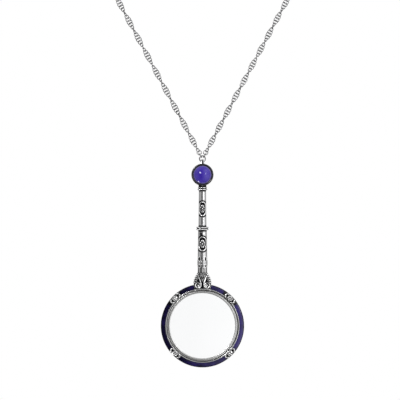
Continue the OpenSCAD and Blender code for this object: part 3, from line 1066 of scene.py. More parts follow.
@dataclass
class FineChain:
    """The twisted ladder chain of one side, made of interlocked oval wire links.

    Attributes:
        side: Side of the necklace.
        half_turn: Length in which the chain turns by half a turn.
        tail: Length from the last link's middle to the nape.
        lead_turn: Extra turn of the first link, in degrees, that eases away.
        first_turn: Turn of the first link without that extra, in degrees.
        lead_links: Number of links in which the extra turn eases away.
        start: Length along the route of the first link's middle.
        pitch: Distance from link to link.
        link_width: Width of a link between the middles of its wire.
        link_length: Length of a link between the middles of its wire.
        corner: Radius of a link's corners.
        corner_steps: Points on each corner.
        wire: Diameter of the wire.
        wire_sides: Flat sides of the wire.
    """

    side: Side
    half_turn: float
    tail: float
    lead_turn: float = -29.1
    first_turn: float = 148.5
    lead_links: float = 8.4
    start: float = 3.14
    pitch: float = 1.3
    link_width: float = 2.3
    link_length: float = 1.72
    corner: float = 0.7
    corner_steps: int = 3
    wire: float = 0.36
    wire_sides: int = 6
    route: Route = field(default_factory=Route)

    def build(self, tree: LinkTree, jump: Array, finish: Material) -> Piece:
        """Threads the links along the route.

        Args:
            tree: The tree of links.
            jump: Middle of the jump ring, in millimetres.
            finish: The chain's material.

        Returns:
            The chain's object.
        """
        path = self.route.evenly(self.side, self.start, self.tail, self.pitch) + jump
        spans = len(path) - 1
        wanted = self.first_turn + 180 * spans * self.pitch / self.half_turn
        turn = math.radians(180 * round((wanted - 90) / 180) + 90 - self.first_turn) / spans
        name = f"{self.side.name.lower()}_chain_links"
        return tree.grow(name, path, {
            "Link Width": self.link_width * MM, "Link Length": self.link_length * MM,
            "Corner Radius": self.corner * MM, "Wire Radius": self.wire / 2 * MM,
            "Corner Steps": self.corner_steps, "Wire Sides": self.wire_sides,
            "First Turn": math.radians(self.first_turn), "Turn Per Link": turn,
            "Lead Turn": math.radians(self.lead_turn), "Lead Links": self.lead_links, "Finish": finish,
        })


@dataclass(frozen=True)
class WireRing:
    """A round ring of round wire.

    Attributes:
        outer: Outer diameter.
        wire: Wire diameter.
    """

    outer: float
    wire: float

    def shell(self, segments: int = 64, sides: int = 20) -> Shell:
        """The ring, lying face up round the origin.

        Args:
            segments: Steps round the ring.
            sides: Steps round the wire.

        Returns:
            The shell.
        """
        turn = full_turn(sides)
        mean = (self.outer - self.wire) / 2
        outline = np.stack([mean + self.wire / 2 * np.cos(turn), self.wire / 2 * np.sin(turn)], axis=1)
        return turned_ring(outline, segments)


@dataclass
class Rings:
    """The jump ring, the chain's end links and the ring clasp with its links."""

    jump: WireRing = WireRing(3.2, 0.55)
    end_link: WireRing = WireRing(2.7, 0.42)
    clasp: WireRing = WireRing(6.0, 1.1)
    eye: WireRing = WireRing(2.4, 0.56)
    clasp_link: WireRing = WireRing(3.1, 0.5)
    eye_x: float = -3.78
    link_angle: float = 34.0

    def build(self, finish: Material) -> Pieces:
        """Builds the rings where their solids lie.

        Args:
            finish: The chain's material.

        Returns:
            Pieces by the name of the node that each replaces.
        """
        shells = {"jump_ring": self.jump.shell().upright()}
        for side in Side:
            shells[f"{side.name.lower()}_end_link"] = self._leaning(side)
            shells[f"clasp_link_{side.name.lower()}"] = self.clasp_link.shell()
        pieces = {
            node: build_piece(f"{node}_wire", [shell.moved(Place.of(node).middle)], [finish])
            for node, shell in shells.items()
        }
        clasp = [self.clasp.shell(96, 24).upright(), self.eye.shell(48, 16).upright((self.eye_x, 0, 0))]
        pieces["clasp"] = build_piece("clasp_casting", clasp, [finish])
        return pieces

    def _leaning(self, side: Side) -> Shell:
        """An end link round the origin, square to the jump ring and leaning with the chain.

        Args:
            side: Side of the necklace.

        Returns:
            The shell.
        """
        flat = self.end_link.shell()
        lean = math.radians(self.link_angle) * side.value
        height, y, along = flat.points[:, 2], flat.points[:, 1], flat.points[:, 0]
        x = along * math.sin(lean) + height * math.cos(lean)
        z = along * math.cos(lean) - height * math.sin(lean)
        return Shell(np.stack([x, y, z], axis=1), flat.faces)


# ---- stone and cup


@dataclass
class StoneCup:
    """The black cup that holds the stone, with its silver lug."""

    rim: float = 0.85
    pocket: float = 1.6
    round_back: float = 1.2
    girdle: float = 1.2
    dome_height: float = 2.4
    lug_width: float = 1.1
    lug_foot_width: float = 2.2
    lug_bar: float = 0.5
    lug_hole: float = 0.495
    lug_height: float = 0.95

    def build(self, palette: Palette) -> Pieces:
        """Builds the cup and the stone.

        Args:
            palette: The finishes.

        Returns:
            Pieces by node.
        """
        cup, stone = Place.of("bezel_cup"), Place.of("cabochon")
        radius, thick = cup.radius, float(cup.size[1])
        centre = (stone.middle[0], cup.middle[1], stone.middle[2])
        pivot = (centre[0], centre[1], centre[2] + radius + self.lug_height)
        shells = [self._cup(radius, thick).upright(centre), self._lug(thick).moved(pivot)]
        girdle_base = cup.middle[1] - stone.high[1]
        stone_shell = self._stone(stone.radius, girdle_base).upright(centre)
        return {
            "bezel_cup": build_piece("bezel_cup_casting", shells, [palette.black, palette.chain]),
            "cabochon": build_piece("cabochon_stone", [stone_shell], [palette.stone]),
        }

    def _cup(self, radius: float, thick: float) -> Shell:
        """The cup, face up: rounded at its back, with a rolled rim and a fine inner lip.

        Args:
            radius: Its outer radius.
            thick: Its thickness.

        Returns:
            The shell.
        """
        half, floor = thick / 2, thick / 2 - self.pocket
        inner = radius - self.rim
        back = [
            (radius - self.round_back * (1 - math.sin(a)), -half + self.round_back * (1 - math.cos(a)))
            for a in np.linspace(0, math.pi / 2, 12)
        ]
        roll = [
            (
                radius - self.rim / 2 + self.rim / 2 * math.cos(a),
                half - self.rim / 2 + self.rim / 2 * math.sin(a)
            )
            for a in np.linspace(0, math.pi, 20)
        ]
        outline = [(0, -half), *back, *roll, (inner, floor + 0.06), (inner - 0.06, floor), (0, floor)]
        return turned_solid(np.array(outline), 128)

    def _stone(self, radius: float, base: float) -> Shell:
        """The stone, face up: a straight girdle and a round dome.

        Args:
            radius: Its radius.
            base: Height of its flat back.

        Returns:
            The shell.
        """
        top = base + self.girdle + self.dome_height
        arc = dome_arc(radius, self.dome_height, top, 28)
        outline = [
            (0, base), (radius - 0.08, base), (radius, base + 0.08), (radius, base + self.girdle - 0.05),
            *arc[1:-1], (0, top)
        ]
        return turned_solid(np.array(outline), 128)

    def _lug(self, thick: float) -> Shell:
        """The lug round the origin: a tab with a hole along x that widens to its foot.

        Args:
            thick: Thickness of the cup.

        Returns:
            The shell.
        """
        angles = full_turn(72)
        outer = self.lug_hole + self.lug_bar
        foot = self.lug_height + thick / 4
        edge = []
        for a in angles:
            y, z = math.cos(a), math.sin(a)
            edge.append(outer if z >= 0 else min(outer / max(abs(y), 1e-6), foot / max(-z, 1e-6)))
        edge = np.array(edge)
        rings = []
        for side in (-1, 1):
            shares = (0.0, 0.06, 0.5, 0.94, 1.0)
            for share in shares if side < 0 else shares[::-1]:
                span = self.lug_hole + (edge - self.lug_hole) * share
                y, z = span * np.cos(angles), span * np.sin(angles)
                slope = np.clip(-z / self.lug_height, 0, 1)
                half = (self.lug_width + (self.lug_foot_width - self.lug_width) * slope) / 2
                inset = 0.05 if share in (0.0, 1.0) else 0.0
                rings.append(np.stack([side * (half - inset), y, z], axis=1))
        points = np.concatenate(rings)
        return Shell(points, [grid_quads(len(rings), len(angles), True, True)], finish=1)


# ---- ornament


def rosette(x: Array, y: Array, reach: float, petals: int = 8) -> Array:
    """Heights of a traditional rosette: a bead, a groove and a ring of petals with pits between.

    Args:
        x: Distances across from its middle.
        y: Distances up from its middle.
        reach: Its radius.
        petals: Number of petals.

    Returns:
        Heights from 0 to 1.
    """
    span, angle = np.hypot(x, y) / reach, np.arctan2(y, x)
    lobe = np.abs(((angle * petals / (2 * math.pi)) % 1) - 0.5) * 2
    tip = 1 - 0.16 * lobe**2
    petal = np.clip(np.minimum((span - 0.36) / 0.2, (tip - span) / 0.16), 0, 1)
    valley = np.clip((0.94 - lobe) / 0.5, 0, 1) ** 0.5
    pit = dome(0.13 - np.hypot(span - 0.42, (1 - lobe) * 0.42 * math.pi / petals), 0.13)
    bead = dome(0.29 - span, 0.29)
    return np.maximum(np.sqrt(petal) * valley * 0.85 - 0.5 * pit, bead * 1.15)


def arc_band(x: Array, y: Array, radius: float, tip: float, width: float, lowest: float) -> Array:
    """Distance inside an arched band whose back points upwards and whose ends are round.

    Args:
        x: Distances across.
        y: Distances up.
        radius: Outer radius of the arch.
        tip: Height of its top.
        width: Width of the band.
        lowest: Angle of its ends above the horizon, in degrees.

    Returns:
        Distances, positive inside.
    """
    dx, dy = x, y - (tip - radius)
    angle = np.clip(np.arctan2(dy, np.abs(dx)), math.radians(lowest), math.pi / 2)
    angle = np.where(dy < -np.abs(dx), math.radians(lowest), angle)
    mean = radius - width / 2
    return width / 2 - np.hypot(np.abs(dx) - mean * np.cos(angle), dy - mean * np.sin(angle))


def crescent(x: Array, y: Array, radius: float, tip: float, thick: float) -> Array:
    """Distance inside a crescent whose back points upwards.

    Args:
        x: Distances across.
        y: Distances up.
        radius: Radius of its back.
        tip: Height of the top of its back.
        thick: Thickness at its middle.

    Returns:
        Distances, positive inside.
    """
    back = radius - np.hypot(x, y - (tip - radius))
    front = np.hypot(x, y - (tip - radius - thick)) - radius
    return np.where(y > tip - radius, np.minimum(back, front), -1)


@dataclass
class Handle:
    """The cast handle: collars, two medallions on each face, notches and flutes.

    Attributes:
        table: Share of the length and share of the lower diameter, from the top down.
        oval: Thickness of a medallion's frame at its sides, its top and its foot.
        waist: Share of the length down to the middle collar.
        medallions: Shares of the length down to the middles of the medallions.
        marks: Dark marks: depth, angle, half height, half width in degrees and blackness.
        foot_from, foot_grey: Depth from which the foot is greyed, and by how much.
    """

    length: float = 39.7
    width: float = 4.5
    table: tuple[tuple[float, float], ...] = (
        (0.0, 0.80), (0.052, 0.80), (0.056, 0.72), (0.45, 0.80), (0.52, 0.87), (0.56, 0.89),
        (0.866, 0.97), (0.869, 1.02), (0.907, 1.02), (0.91, 0.97), (1.0, 1.0),
    )
    waist: float = 0.491
    medallions: tuple[float, float] = (0.264, 0.668)
    medallion_height: float = 6.7
    medallion_share: float = 0.84
    oval: tuple[float, float, float] = (0.24, 0.46, 0.6)
    relief: float = 0.3
    marks: tuple[tuple[float, float, float, float, float], ...] = (
        (22.0, 251, 1.8, 46, 0.85), (22.0, 71, 1.8, 46, 0.85),
        (31.6, 262, 0.8, 40, 0.6), (31.6, 82, 0.8, 40, 0.6),
    )
    notches: tuple[tuple[float, float], ...] = ((0.821, 0.862), (0.912, 0.932))
    notch_angles: tuple[float, ...] = (45, 135, 225, 315)
    flute_from: float = 0.937
    foot_from: float = 33.5
    foot_grey: float = 0.38
    flutes: int = 10
    rows: int = 500
    columns: int = 168

    def build(self, palette: Palette) -> Pieces:
        """Builds the handle as a relief wrapped round its axis.

        Args:
            palette: The finishes.

        Returns:
            The piece by node.
        """
        solid, stone, cup = Place.of("handle"), Place.of("cabochon"), Place.of("bezel_cup")
        top = float(stone.middle[2]) - cup.radius
        depth = np.linspace(0, self.length, self.rows)[:, None]
        theta = full_turn(self.columns)[None, :]
        medallions, petals, ovals = self._medallions(depth, theta)
        radius = self._radius(depth, theta) + medallions
        reach = (0.42 * self.rows / self.length, 0.42 * self.columns / (math.pi * self.width))
        recess = wear(radius - 0.6 * petals, reach, True, 0.1)
        recess = np.clip(recess + ovals + self._darkening(depth, theta), -1, 1)
        x, y = radius * np.cos(theta), radius * np.sin(theta)
        z = top - depth - np.zeros_like(theta)
        hollow = float(stone.middle[2]) - np.sqrt(np.maximum((cup.radius + 0.06) ** 2 - x**2, 0))
        z[0] = hollow[0]
        z[1:] = np.minimum(z[1:], hollow[1:] - 0.02)
        centre = solid.middle[1]
        poles = [[0, centre, hollow[0].min()], [0, centre, top - self.length]]
        shell = capped(as_rows(x, y + centre, z), self.rows, self.columns, np.array(poles))
        shell.recess = np.concatenate([recess.ravel(), [1, 1]])
        return {"handle": build_piece("handle_casting", [shell], [palette.cast], sharp=75)}

    def _radius(self, depth: Array, theta: Array) -> Array:
        """Radius at each depth and angle, with all relief but the medallions.

        Args:
            depth: Depths below its top, in a column.
            theta: Angles in radians, in a row.

        Returns:
            A grid of radii.
        """
        share = depth / self.length
        rows = np.asarray(self.table)
        plain = np.interp(share[:, 0], rows[:, 0], rows[:, 1]) * self.width / 2
        plain = softened(plain, 0.14 * self.rows / self.length, 0, False)[:, None]
        radius = plain + np.zeros_like(theta)
        for at, diameter, height in self._collars():
            ring = diameter / 2 - height / 2 + np.sqrt(
                np.clip((height / 2) ** 2 - (depth - at) ** 2, 0, None)
            )
            radius = np.where(np.abs(depth - at) < height / 2, np.maximum(radius, ring), radius)
        for at, _, height in self._collars()[2:4]:
            strand = np.cos(20 * theta + 7 * (depth - at))
            radius = radius - 0.13 * ramp(strand, 0.5, 0.5) * (np.abs(depth - at) < height / 2)
        radius = radius + self._beading(depth, theta)
        for low, high in self.notches:
            inside = np.minimum(share - low, high - share) * self.length
            for angle in self.notch_angles:
                across = 0.6 - np.abs(self._turned(theta - math.radians(angle))) * self.width / 2
                cut = ramp(np.minimum(inside, across), 0, 0.12)
                radius = radius - cut * 1.4 * self.relief
        deep = np.clip((share - self.flute_from) * self.length / 0.3, 0, 1)
        flute = np.abs(np.sin(theta * self.flutes / 2)) ** 0.7
        return radius - deep * (1 - flute) * 0.24

    def _collars(self) -> list[tuple[float, float, float]]:
        """Depth, diameter and height of each ring on the handle."""
        middle = self.waist * self.length
        return [
            (0.8, 4.2, 0.44), (1.68, 4.55, 0.5),
            (middle - 0.46, 5.58, 0.54), (middle + 0.48, 5.58, 0.54), (middle, 5.2, 1.1),
            (0.866 * self.length - 0.1, 4.75, 0.4), (0.908 * self.length + 0.1, 4.75, 0.4),
        ]

    def _beading(self, depth: Array, theta: Array) -> Array:
        """Rows of small beads round the handle.

        Args:
            depth: Depths below its top, in a column.
            theta: Angles in radians, in a row.

        Returns:
            A grid of heights.
        """
        beads = np.zeros_like(depth + theta)
        rows = ((1.22, 22, 0.26, 0.2, 0.1), (0.887 * self.length, 16, 0.5, 0.3, 0.03))
        for at, count, tall, wide, rise in rows:
            turn = ((theta * count / (2 * math.pi)) % 1 - 0.5) * math.pi * self.width / count
            beads += rise * np.sqrt(np.clip(1 - (turn / wide) ** 2 - ((depth - at) / tall) ** 2, 0, 1))
        for at in self.medallions:
            for facing in (0, math.pi):
                turn = self._turned(theta - facing) * self.width / 2
                down = depth - at * self.length
                panel = ramp(np.minimum(0.42 - np.abs(turn), 2.6 - np.abs(down)), 0, 0.12)
                beads -= 0.2 * panel
                for k in range(-3, 4):
                    beads += 0.24 * np.sqrt(
                        np.clip(1 - (turn / 0.32) ** 2 - ((down - 0.72 * k) / 0.32) ** 2, 0, 1)
                    )
        return beads

    @staticmethod
    def _turned(angle: Array) -> Array:
        """An angle brought between minus and plus half a turn."""
        return (angle + math.pi) % (2 * math.pi) - math.pi

    def _medallions(self, depth: Array, theta: Array) -> tuple[Array, Array, Array]:
        """Heights of all medallions, how much of them is petals, and their blackening.

        Args:
            depth: Depths below its top, in a column.
            theta: Angles in radians, in a row.

        Returns:
            Three grids.
        """
        rows = np.asarray(self.table)
        totals = [np.zeros_like(depth + theta) for _ in range(3)]
        for at in self.medallions:
            radius = float(np.interp(at, rows[:, 0], rows[:, 1])) * self.width / 2
            for facing in (math.pi / 2, 3 * math.pi / 2):
                for total, part in zip(
                    totals, self._medallion(depth - at * self.length, theta - facing, radius)
                ):
                    total += part
        return totals[0], totals[1], totals[2]

    def _medallion(self, down: Array, turn: Array, radius: float) -> tuple[Array, Array, Array]:
        """One medallion: an oval frame with thick ends, a black ground and an oval rosette.

        Args:
            down: Depth below its middle.
            turn: Angle from its middle, in radians.
            radius: Radius of the handle there.

        Returns:
            Heights in millimetres, the part of them that is petals, and blackening.
        """
        turn = self._turned(turn)
        across = radius * np.sin(turn)
        half, reach = self.medallion_share * radius, self.medallion_height / 2
        inside = half - np.hypot(across, np.clip(np.abs(down) - (reach - half), 0, None))
        inside = np.where(np.cos(turn) > 0.05, inside, -9.0)
        sides, top, foot = self.oval
        ends = np.clip((np.abs(down) - reach + 1.2 * half) / (0.9 * half), 0, 1)
        thick = sides + np.where(down < 0, top - sides, foot - sides) * ends
        frame = self.relief * (0.4 + 0.6 * ends) * dome(np.minimum(inside, thick - inside), thick / 2)
        ground = ramp(inside, thick, 0.1)
        tall, wide = 1.85, half - sides + 0.06
        stretched = radius * turn * tall / wide
        flower = np.clip((tall + 0.04 - np.hypot(stretched, down)) / 0.1, 0, 1) * ground
        petals = 0.22 * flower * rosette(stretched, down, tall)
        rail = ramp(inside, 0, 0.05) * (1 - ground) * (1 - ends)
        outline = bump(inside + 0.36, 0.5) * ends
        darkening = 0.85 * ground * (1 - flower) + 0.68 * flower + 0.65 * rail + 0.85 * outline
        return frame - 0.32 * ground + 0.15 * flower + petals, petals, darkening

    def _darkening(self, depth: Array, theta: Array) -> Array:
        """Blackening beside the collars and at the foot, and the marks on the plain parts.

        Args:
            depth: Depths below its top, in a column.
            theta: Angles in radians, in a row.

        Returns:
            A grid of blackness.
        """
        middle = self.waist * self.length
        darkening = np.zeros_like(depth + theta)
        rings = (
            (0.15, 0.6, 1.0), (0.8, 0.3, 0.9), (1.22, 0.3, 0.8), (1.68, 0.3, 0.9), (2.15, 0.35, 0.8),
            (middle - 0.92, 0.38, 0.9), (middle - 0.46, 0.42, 1.25), (middle, 0.26, 1.0),
            (middle + 0.48, 0.42, 1.25), (middle + 0.96, 0.42, 0.9), (self.length, 0.6, 0.7),
        )
        for at, reach, black in rings:
            darkening += black * bump(depth - at, reach)
        darkening += self.foot_grey * ramp(depth, self.foot_from, 0.6)
        for at, angle, tall, wide, black in self.marks:
            across = bump(self._turned(theta - math.radians(angle)), math.radians(wide))
            darkening += black * bump(depth - at, tall) * across
        return darkening


# ---- lens frame


@dataclass
class LensFrame:
    """The round frame with its channel, the enamel, the rim and the glass.

    Attributes:
        shades: Strength of the painted shade on each enamel fill at its first and its last end.
        shade_reach: Length of the painted shade at the end of a fill.
        shade_soft: Length over which it fades.
        plaque_foot, mount_foot: Half lengths of what stands in the channel.
    """

    edge: float = 0.2
    edge_drop: float = 0.2
    channel: float = 1.9
    channel_depth: float = 0.9
    crown: float = 0.06
    fall: float = 0.13
    lip: float = 0.45
    chamfer: float = 0.4
    rim_width: float = 1.5
    rim_drop: float = 0.15
    groove: float = 0.45
    groove_depth: float = 0.55
    seam: float = 0.05
    glass_gap: float = 0.1
    shades: tuple[tuple[float, float], ...] = (
        (0.95, 0.0), (0.0, 0.8), (0.95, 0.25), (0.25, 0.25), (0.25, 0.95)
    )
    shade_reach: float = 2.1
    shade_soft: float = 0.7
    plaque_foot: float = 5.9 / 2 - 0.7
    mount_foot: float = 8.7 / 2 - 0.6
    glass_edge: float = 0.8
    bevel: float = 0.03
    rubbed: float = -0.4
    rim_rubbed: float = -0.35
    segments: int = 360

    def build(self, palette: Palette) -> Pieces:
        """Builds the frame, its enamel, the rim and the glass.

        Args:
            palette: The finishes.

        Returns:
            Pieces by node.
        """
        frame = Place.of("lens_frame")
        self.centre = frame.middle
        self.radius, self.half = frame.radius, float(frame.size[1] / 2)
        self.lip_inner = self.radius - self.edge - self.channel - self.lip
        glass = Place.of("lens")
        self.glass_radius, self.glass_half = glass.radius, float(glass.size[1] / 2)
        self.seat = float(Place.of("lens_rim").high[1] * -1 + self.centre[1]) - self.seam
        pieces = {
            "lens_frame": build_piece("lens_frame_casting", [self._frame()], [palette.cast], sharp=60),
            "lens_rim": build_piece("lens_rim_band", [self._rim()], [palette.rim], sharp=60),
            "lens": build_piece("lens_glass_disc", [self._glass()], [palette.glass], sharp=60),
        }
        for number in range(1, 6):
            node = f"enamel_{number}"
            pieces[node] = build_piece(f"{node}_fill", [self._enamel(number)], [palette.enamel], sharp=60)
        return pieces

    def _frame(self) -> Shell:
        """The frame's ring, stood upright, with a black channel, seat and outer edge and a rubbed lip.

        Returns:
            The shell.
        """
        r, h = self.radius, self.half
        outer, inner = r - self.edge, r - self.edge - self.channel
        floor, pocket = h - self.channel_depth, self.glass_radius + self.glass_gap
        bore = self.lip_inner - self.seam - self.rim_width
        corners = [
            (bore, -h), (r - self.chamfer, -h), (r, self.chamfer - h), (r, h - self.edge_drop),
            (outer, h - self.edge_drop), (outer, floor), (inner, floor), (inner, h, 0.14),
            (self.lip_inner, h, 0.14), (self.lip_inner, self.seat), (pocket, self.seat),
            (pocket, -self.seat), (bore, -self.seat),
        ]
        outline = refined(rounded(corners, 0.07), 0.5)
        shell = turned_ring(outline, self.segments)
        span, height = outline[:, 0], outline[:, 1]
        dark = np.where(
            (span > inner - 0.02) & (span < outer + 0.02) & (height < h - 0.3) & (height > floor - 0.1), 1.0,
            0.0
        )
        dark = np.maximum(
            dark,
            np.where(
                (span < self.lip_inner + 0.02) & (height < h - 0.22) & (height > -self.seat - 0.1), 1.0, 0.0
            )
        )
        dark = np.where(
            (span > self.lip_inner - 0.01) & (span < inner + 0.01) & (height > h - 0.22), self.rubbed, dark
        )
        dark = np.where((span > outer - 0.01) & (height > h - self.edge_drop - 0.1), 1.0, dark)
        shell.recess = np.tile(dark, self.segments)
        return shell.upright(self.centre)

    def _rim(self) -> Shell:
        """The rim that holds the glass, with its dark groove and a fine turned line.

        Returns:
            The shell.
        """
        outer = self.lip_inner - self.seam
        inner = outer - self.rim_width
        low, top = self.seat + self.seam, self.half - self.rim_drop
        line = inner + self.rim_width * 0.6
        corners = [
            (inner, low), (outer, low), (outer, top - self.groove_depth), (outer - self.groove, top - 0.11),
            (line + 0.07, top - 0.07, 0.05), (line, top - 0.16, 0.02), (line - 0.07, top - 0.05, 0.05),
            (inner + 0.16, top, 0.16), (inner, top - 0.24, 0.12),
        ]
        outline = refined(rounded(corners, 0.06), 0.4)
        shell = turned_ring(outline, self.segments)
        span, height = outline[:, 0], outline[:, 1]
        dark = np.clip((span - (outer - self.groove * 0.8)) / (self.groove * 0.5), 0, 1)
        dark = np.maximum(dark, np.where((np.abs(span - line) < 0.05) & (height > low + 0.2), 0.7, 0))
        dark = np.where((span < line - 0.04) & (height > top - 0.3), self.rim_rubbed, dark)
        shell.recess = np.tile(dark, self.segments)
        return shell.upright(self.centre)

    def _glass(self) -> Shell:
        """The glass, curved on both faces, with a fine bevel at its edge.

        Returns:
            The shell.
        """
        radius, edge = self.glass_radius, self.glass_edge - self.bevel
        face = dome_arc(radius, self.glass_half - self.glass_edge, self.glass_half, 40, 0.997)
        outline = [(r, -h) for r, h in face[::-1]] + [(radius, -edge), (radius, edge)] + face
        outline[0], outline[-1] = (0, -self.glass_half), (0, self.glass_half)
        return turned_solid(np.array(outline), 192).upright(self.centre)

    def _enamel(self, number: int) -> Shell:
        """One enamel fill with a rounded top that falls from the lip to the outer edge.

        Args:
            number: Number of the fill, from 1.

        Returns:
            The shell.
        """
        start, end = self._span(number)
        half = self.channel / 2 - self.seam
        middle = self.radius - self.edge - self.channel / 2
        base, edge = self.half - self.channel_depth + self.seam, self.half - self.edge_drop - self.seam
        ball = ball_radius(half, self.crown)
        across = np.linspace(half, -half, 17)
        top = [
            (middle + s, edge + self.crown - self.fall * s / half - ball + math.sqrt(ball**2 - s**2))
            for s in across
        ]
        outline = np.array([(middle - half, base), (middle + half, base), *top])
        steps = max(8, round((end - start) * 1.2))
        shell = turned_arc(outline, start, end, steps)
        # Painted shade: each fill is blackened near its ends beside the plaques, most beside the upper ones.
        angles = np.linspace(start, end, steps + 1)
        away = np.radians(np.stack([angles - start, end - angles])) * middle
        blackness = np.array(self.shades[number - 1])[:, None]
        shade = (ramp(self.shade_reach - away, 0, self.shade_soft) * blackness).max(0)
        shell.recess = np.concatenate([np.repeat(shade, len(outline)), shade[[0, -1]]])
        return shell.upright(self.centre)

    def _span(self, number: int) -> tuple[float, float]:
        """First and last angle of an enamel fill, in degrees from the right side.

        Args:
            number: Number of the fill, from 1.

        Returns:
            The two angles.
        """
        middle = self.radius - self.edge - self.channel / 2
        foot = math.degrees(math.atan(self.plaque_foot / middle))
        mount = math.degrees(math.asin(self.mount_foot / middle))
        gap = math.degrees(math.atan(2 * self.seam / middle))
        edges = [45, 90 - mount + foot, 90 + mount - foot, 135, 135, 225, 225, 315, 315, 405]
        start, end = edges[2 * number - 2], edges[2 * number - 1]
        return start + foot + gap, end - foot - gap


@dataclass
class Plaques:
    """The four rosette plaques on the frame."""

    length: float = 5.9
    inset: float = 0.7
    foot_width: float = 1.8
    rise: float = 0.35
    relief: float = 0.25
    end_arc: float = 0.7
    angles: tuple[float, ...] = (45, 135, 225, 315)
    columns: int = 150
    rows: int = 61

    def build(self, frame: LensFrame, palette: Palette) -> Pieces:
        """Builds the plaques.

        Args:
            frame: The frame they sit on.
            palette: The finishes.

        Returns:
            Pieces by node.
        """
        pieces = {}
        for number, angle in enumerate(self.angles, 1):
            node = f"plaque_{number}"
            shells = [
                shell.turned_flat(angle).upright(frame.centre)
                for shell in (self._cap(frame), self._foot(frame))
            ]
            pieces[node] = build_piece(f"{node}_casting", shells, [palette.cast], sharp=65)
        return pieces

    def _foot(self, frame: LensFrame) -> Shell:
        """The foot in the channel.

        Args:
            frame: The frame under it.

        Returns:
            The shell.
        """
        middle = frame.radius - frame.edge - frame.channel / 2
        half = self.foot_width / 2
        low, high = frame.half - frame.channel_depth + frame.seam, frame.half + frame.seam + 0.15
        reach = math.degrees(math.atan((self.length / 2 - self.inset) / middle))
        outline = np.array(
            [(middle - half, low), (middle + half, low), (middle + half, high), (middle - half, high)]
        )
        return turned_arc(outline, -reach, reach, 16)

    def _cap(self, frame: LensFrame) -> Shell:
        """The cap with round ends, bent along the frame, and its relief.

        Args:
            frame: The frame under it.

        Returns:
            The shell.
        """
        width = frame.channel + frame.lip
        end = width / 2
        middle = (frame.radius + frame.lip_inner) / 2
        straight = self.length / 2 - end
        turn = np.linspace(-math.pi / 2, math.pi / 2, self.columns)
        along = (straight + end) * np.sin(turn)
        beyond = np.clip(np.abs(along) - straight, 0, end)
        half = np.sqrt(np.maximum(end**2 - beyond**2, 0))
        across = np.sin(np.linspace(-math.pi / 2, math.pi / 2, self.rows))[:, None] * half[None, :]
        span = along[None, :] + np.zeros_like(across)
        inside = end - np.hypot(np.clip(np.abs(span) - straight, 0, None), across)
        height, dark = self._relief(span, across, end)
        base = frame.half + frame.seam
        top = base + self.rise * (0.35 + 0.65 * dome(inside, 0.16)) + height * ramp(inside, 0, 0.12)
        radius = middle + across
        angle = span / middle
        upper = np.stack([radius * np.cos(angle), radius * np.sin(angle), top], axis=2).reshape(-1, 3)
        lower = upper.copy()
        lower[:, 2] = base
        shell = sandwich(upper, lower, self.rows, self.columns)
        shell.recess = np.concatenate([dark.ravel(), np.full(len(upper), 0.6)])
        return shell

    def _relief(self, span: Array, across: Array, end: float) -> tuple[Array, Array]:
        """Heights and blackening of a plaque: end arches, the cuts inside them and a rosette.

        Args:
            span: Distances along the frame.
            across: Distances outwards.
            end: Radius of the round ends.

        Returns:
            Heights in millimetres, and wear from -1 to 1.
        """
        reach = self.length / 2
        inside = end - np.hypot(np.clip(np.abs(span) - (reach - end), 0, None), across)
        height, pits = 0.06 * bump(inside - 0.1, 0.12), np.zeros_like(inside)
        for away in (span, -span):
            arch = arc_band(across, away, end, reach, self.end_arc, 10)
            height = np.maximum(height, self.relief * dome(arch, self.end_arc / 2))
            hollow = np.clip(
                crescent(across, away, end - self.end_arc * 0.75, reach - self.end_arc, 0.55) / 0.08, 0, 1
            )
            height -= 0.25 * hollow
            pits = np.maximum(pits, hollow)
        height = np.maximum(height, self.relief * 1.1 * rosette(span / 1.25, across, 1.12, petals=6))
        lie = wear(height, (5.0, 6.0), False, 0.07)
        ground = np.maximum(0.5 * np.clip((0.09 - height) / 0.07, 0, 1), pits)
        return height, np.clip(lie + ground, -1, 1)


# ---- scroll mount


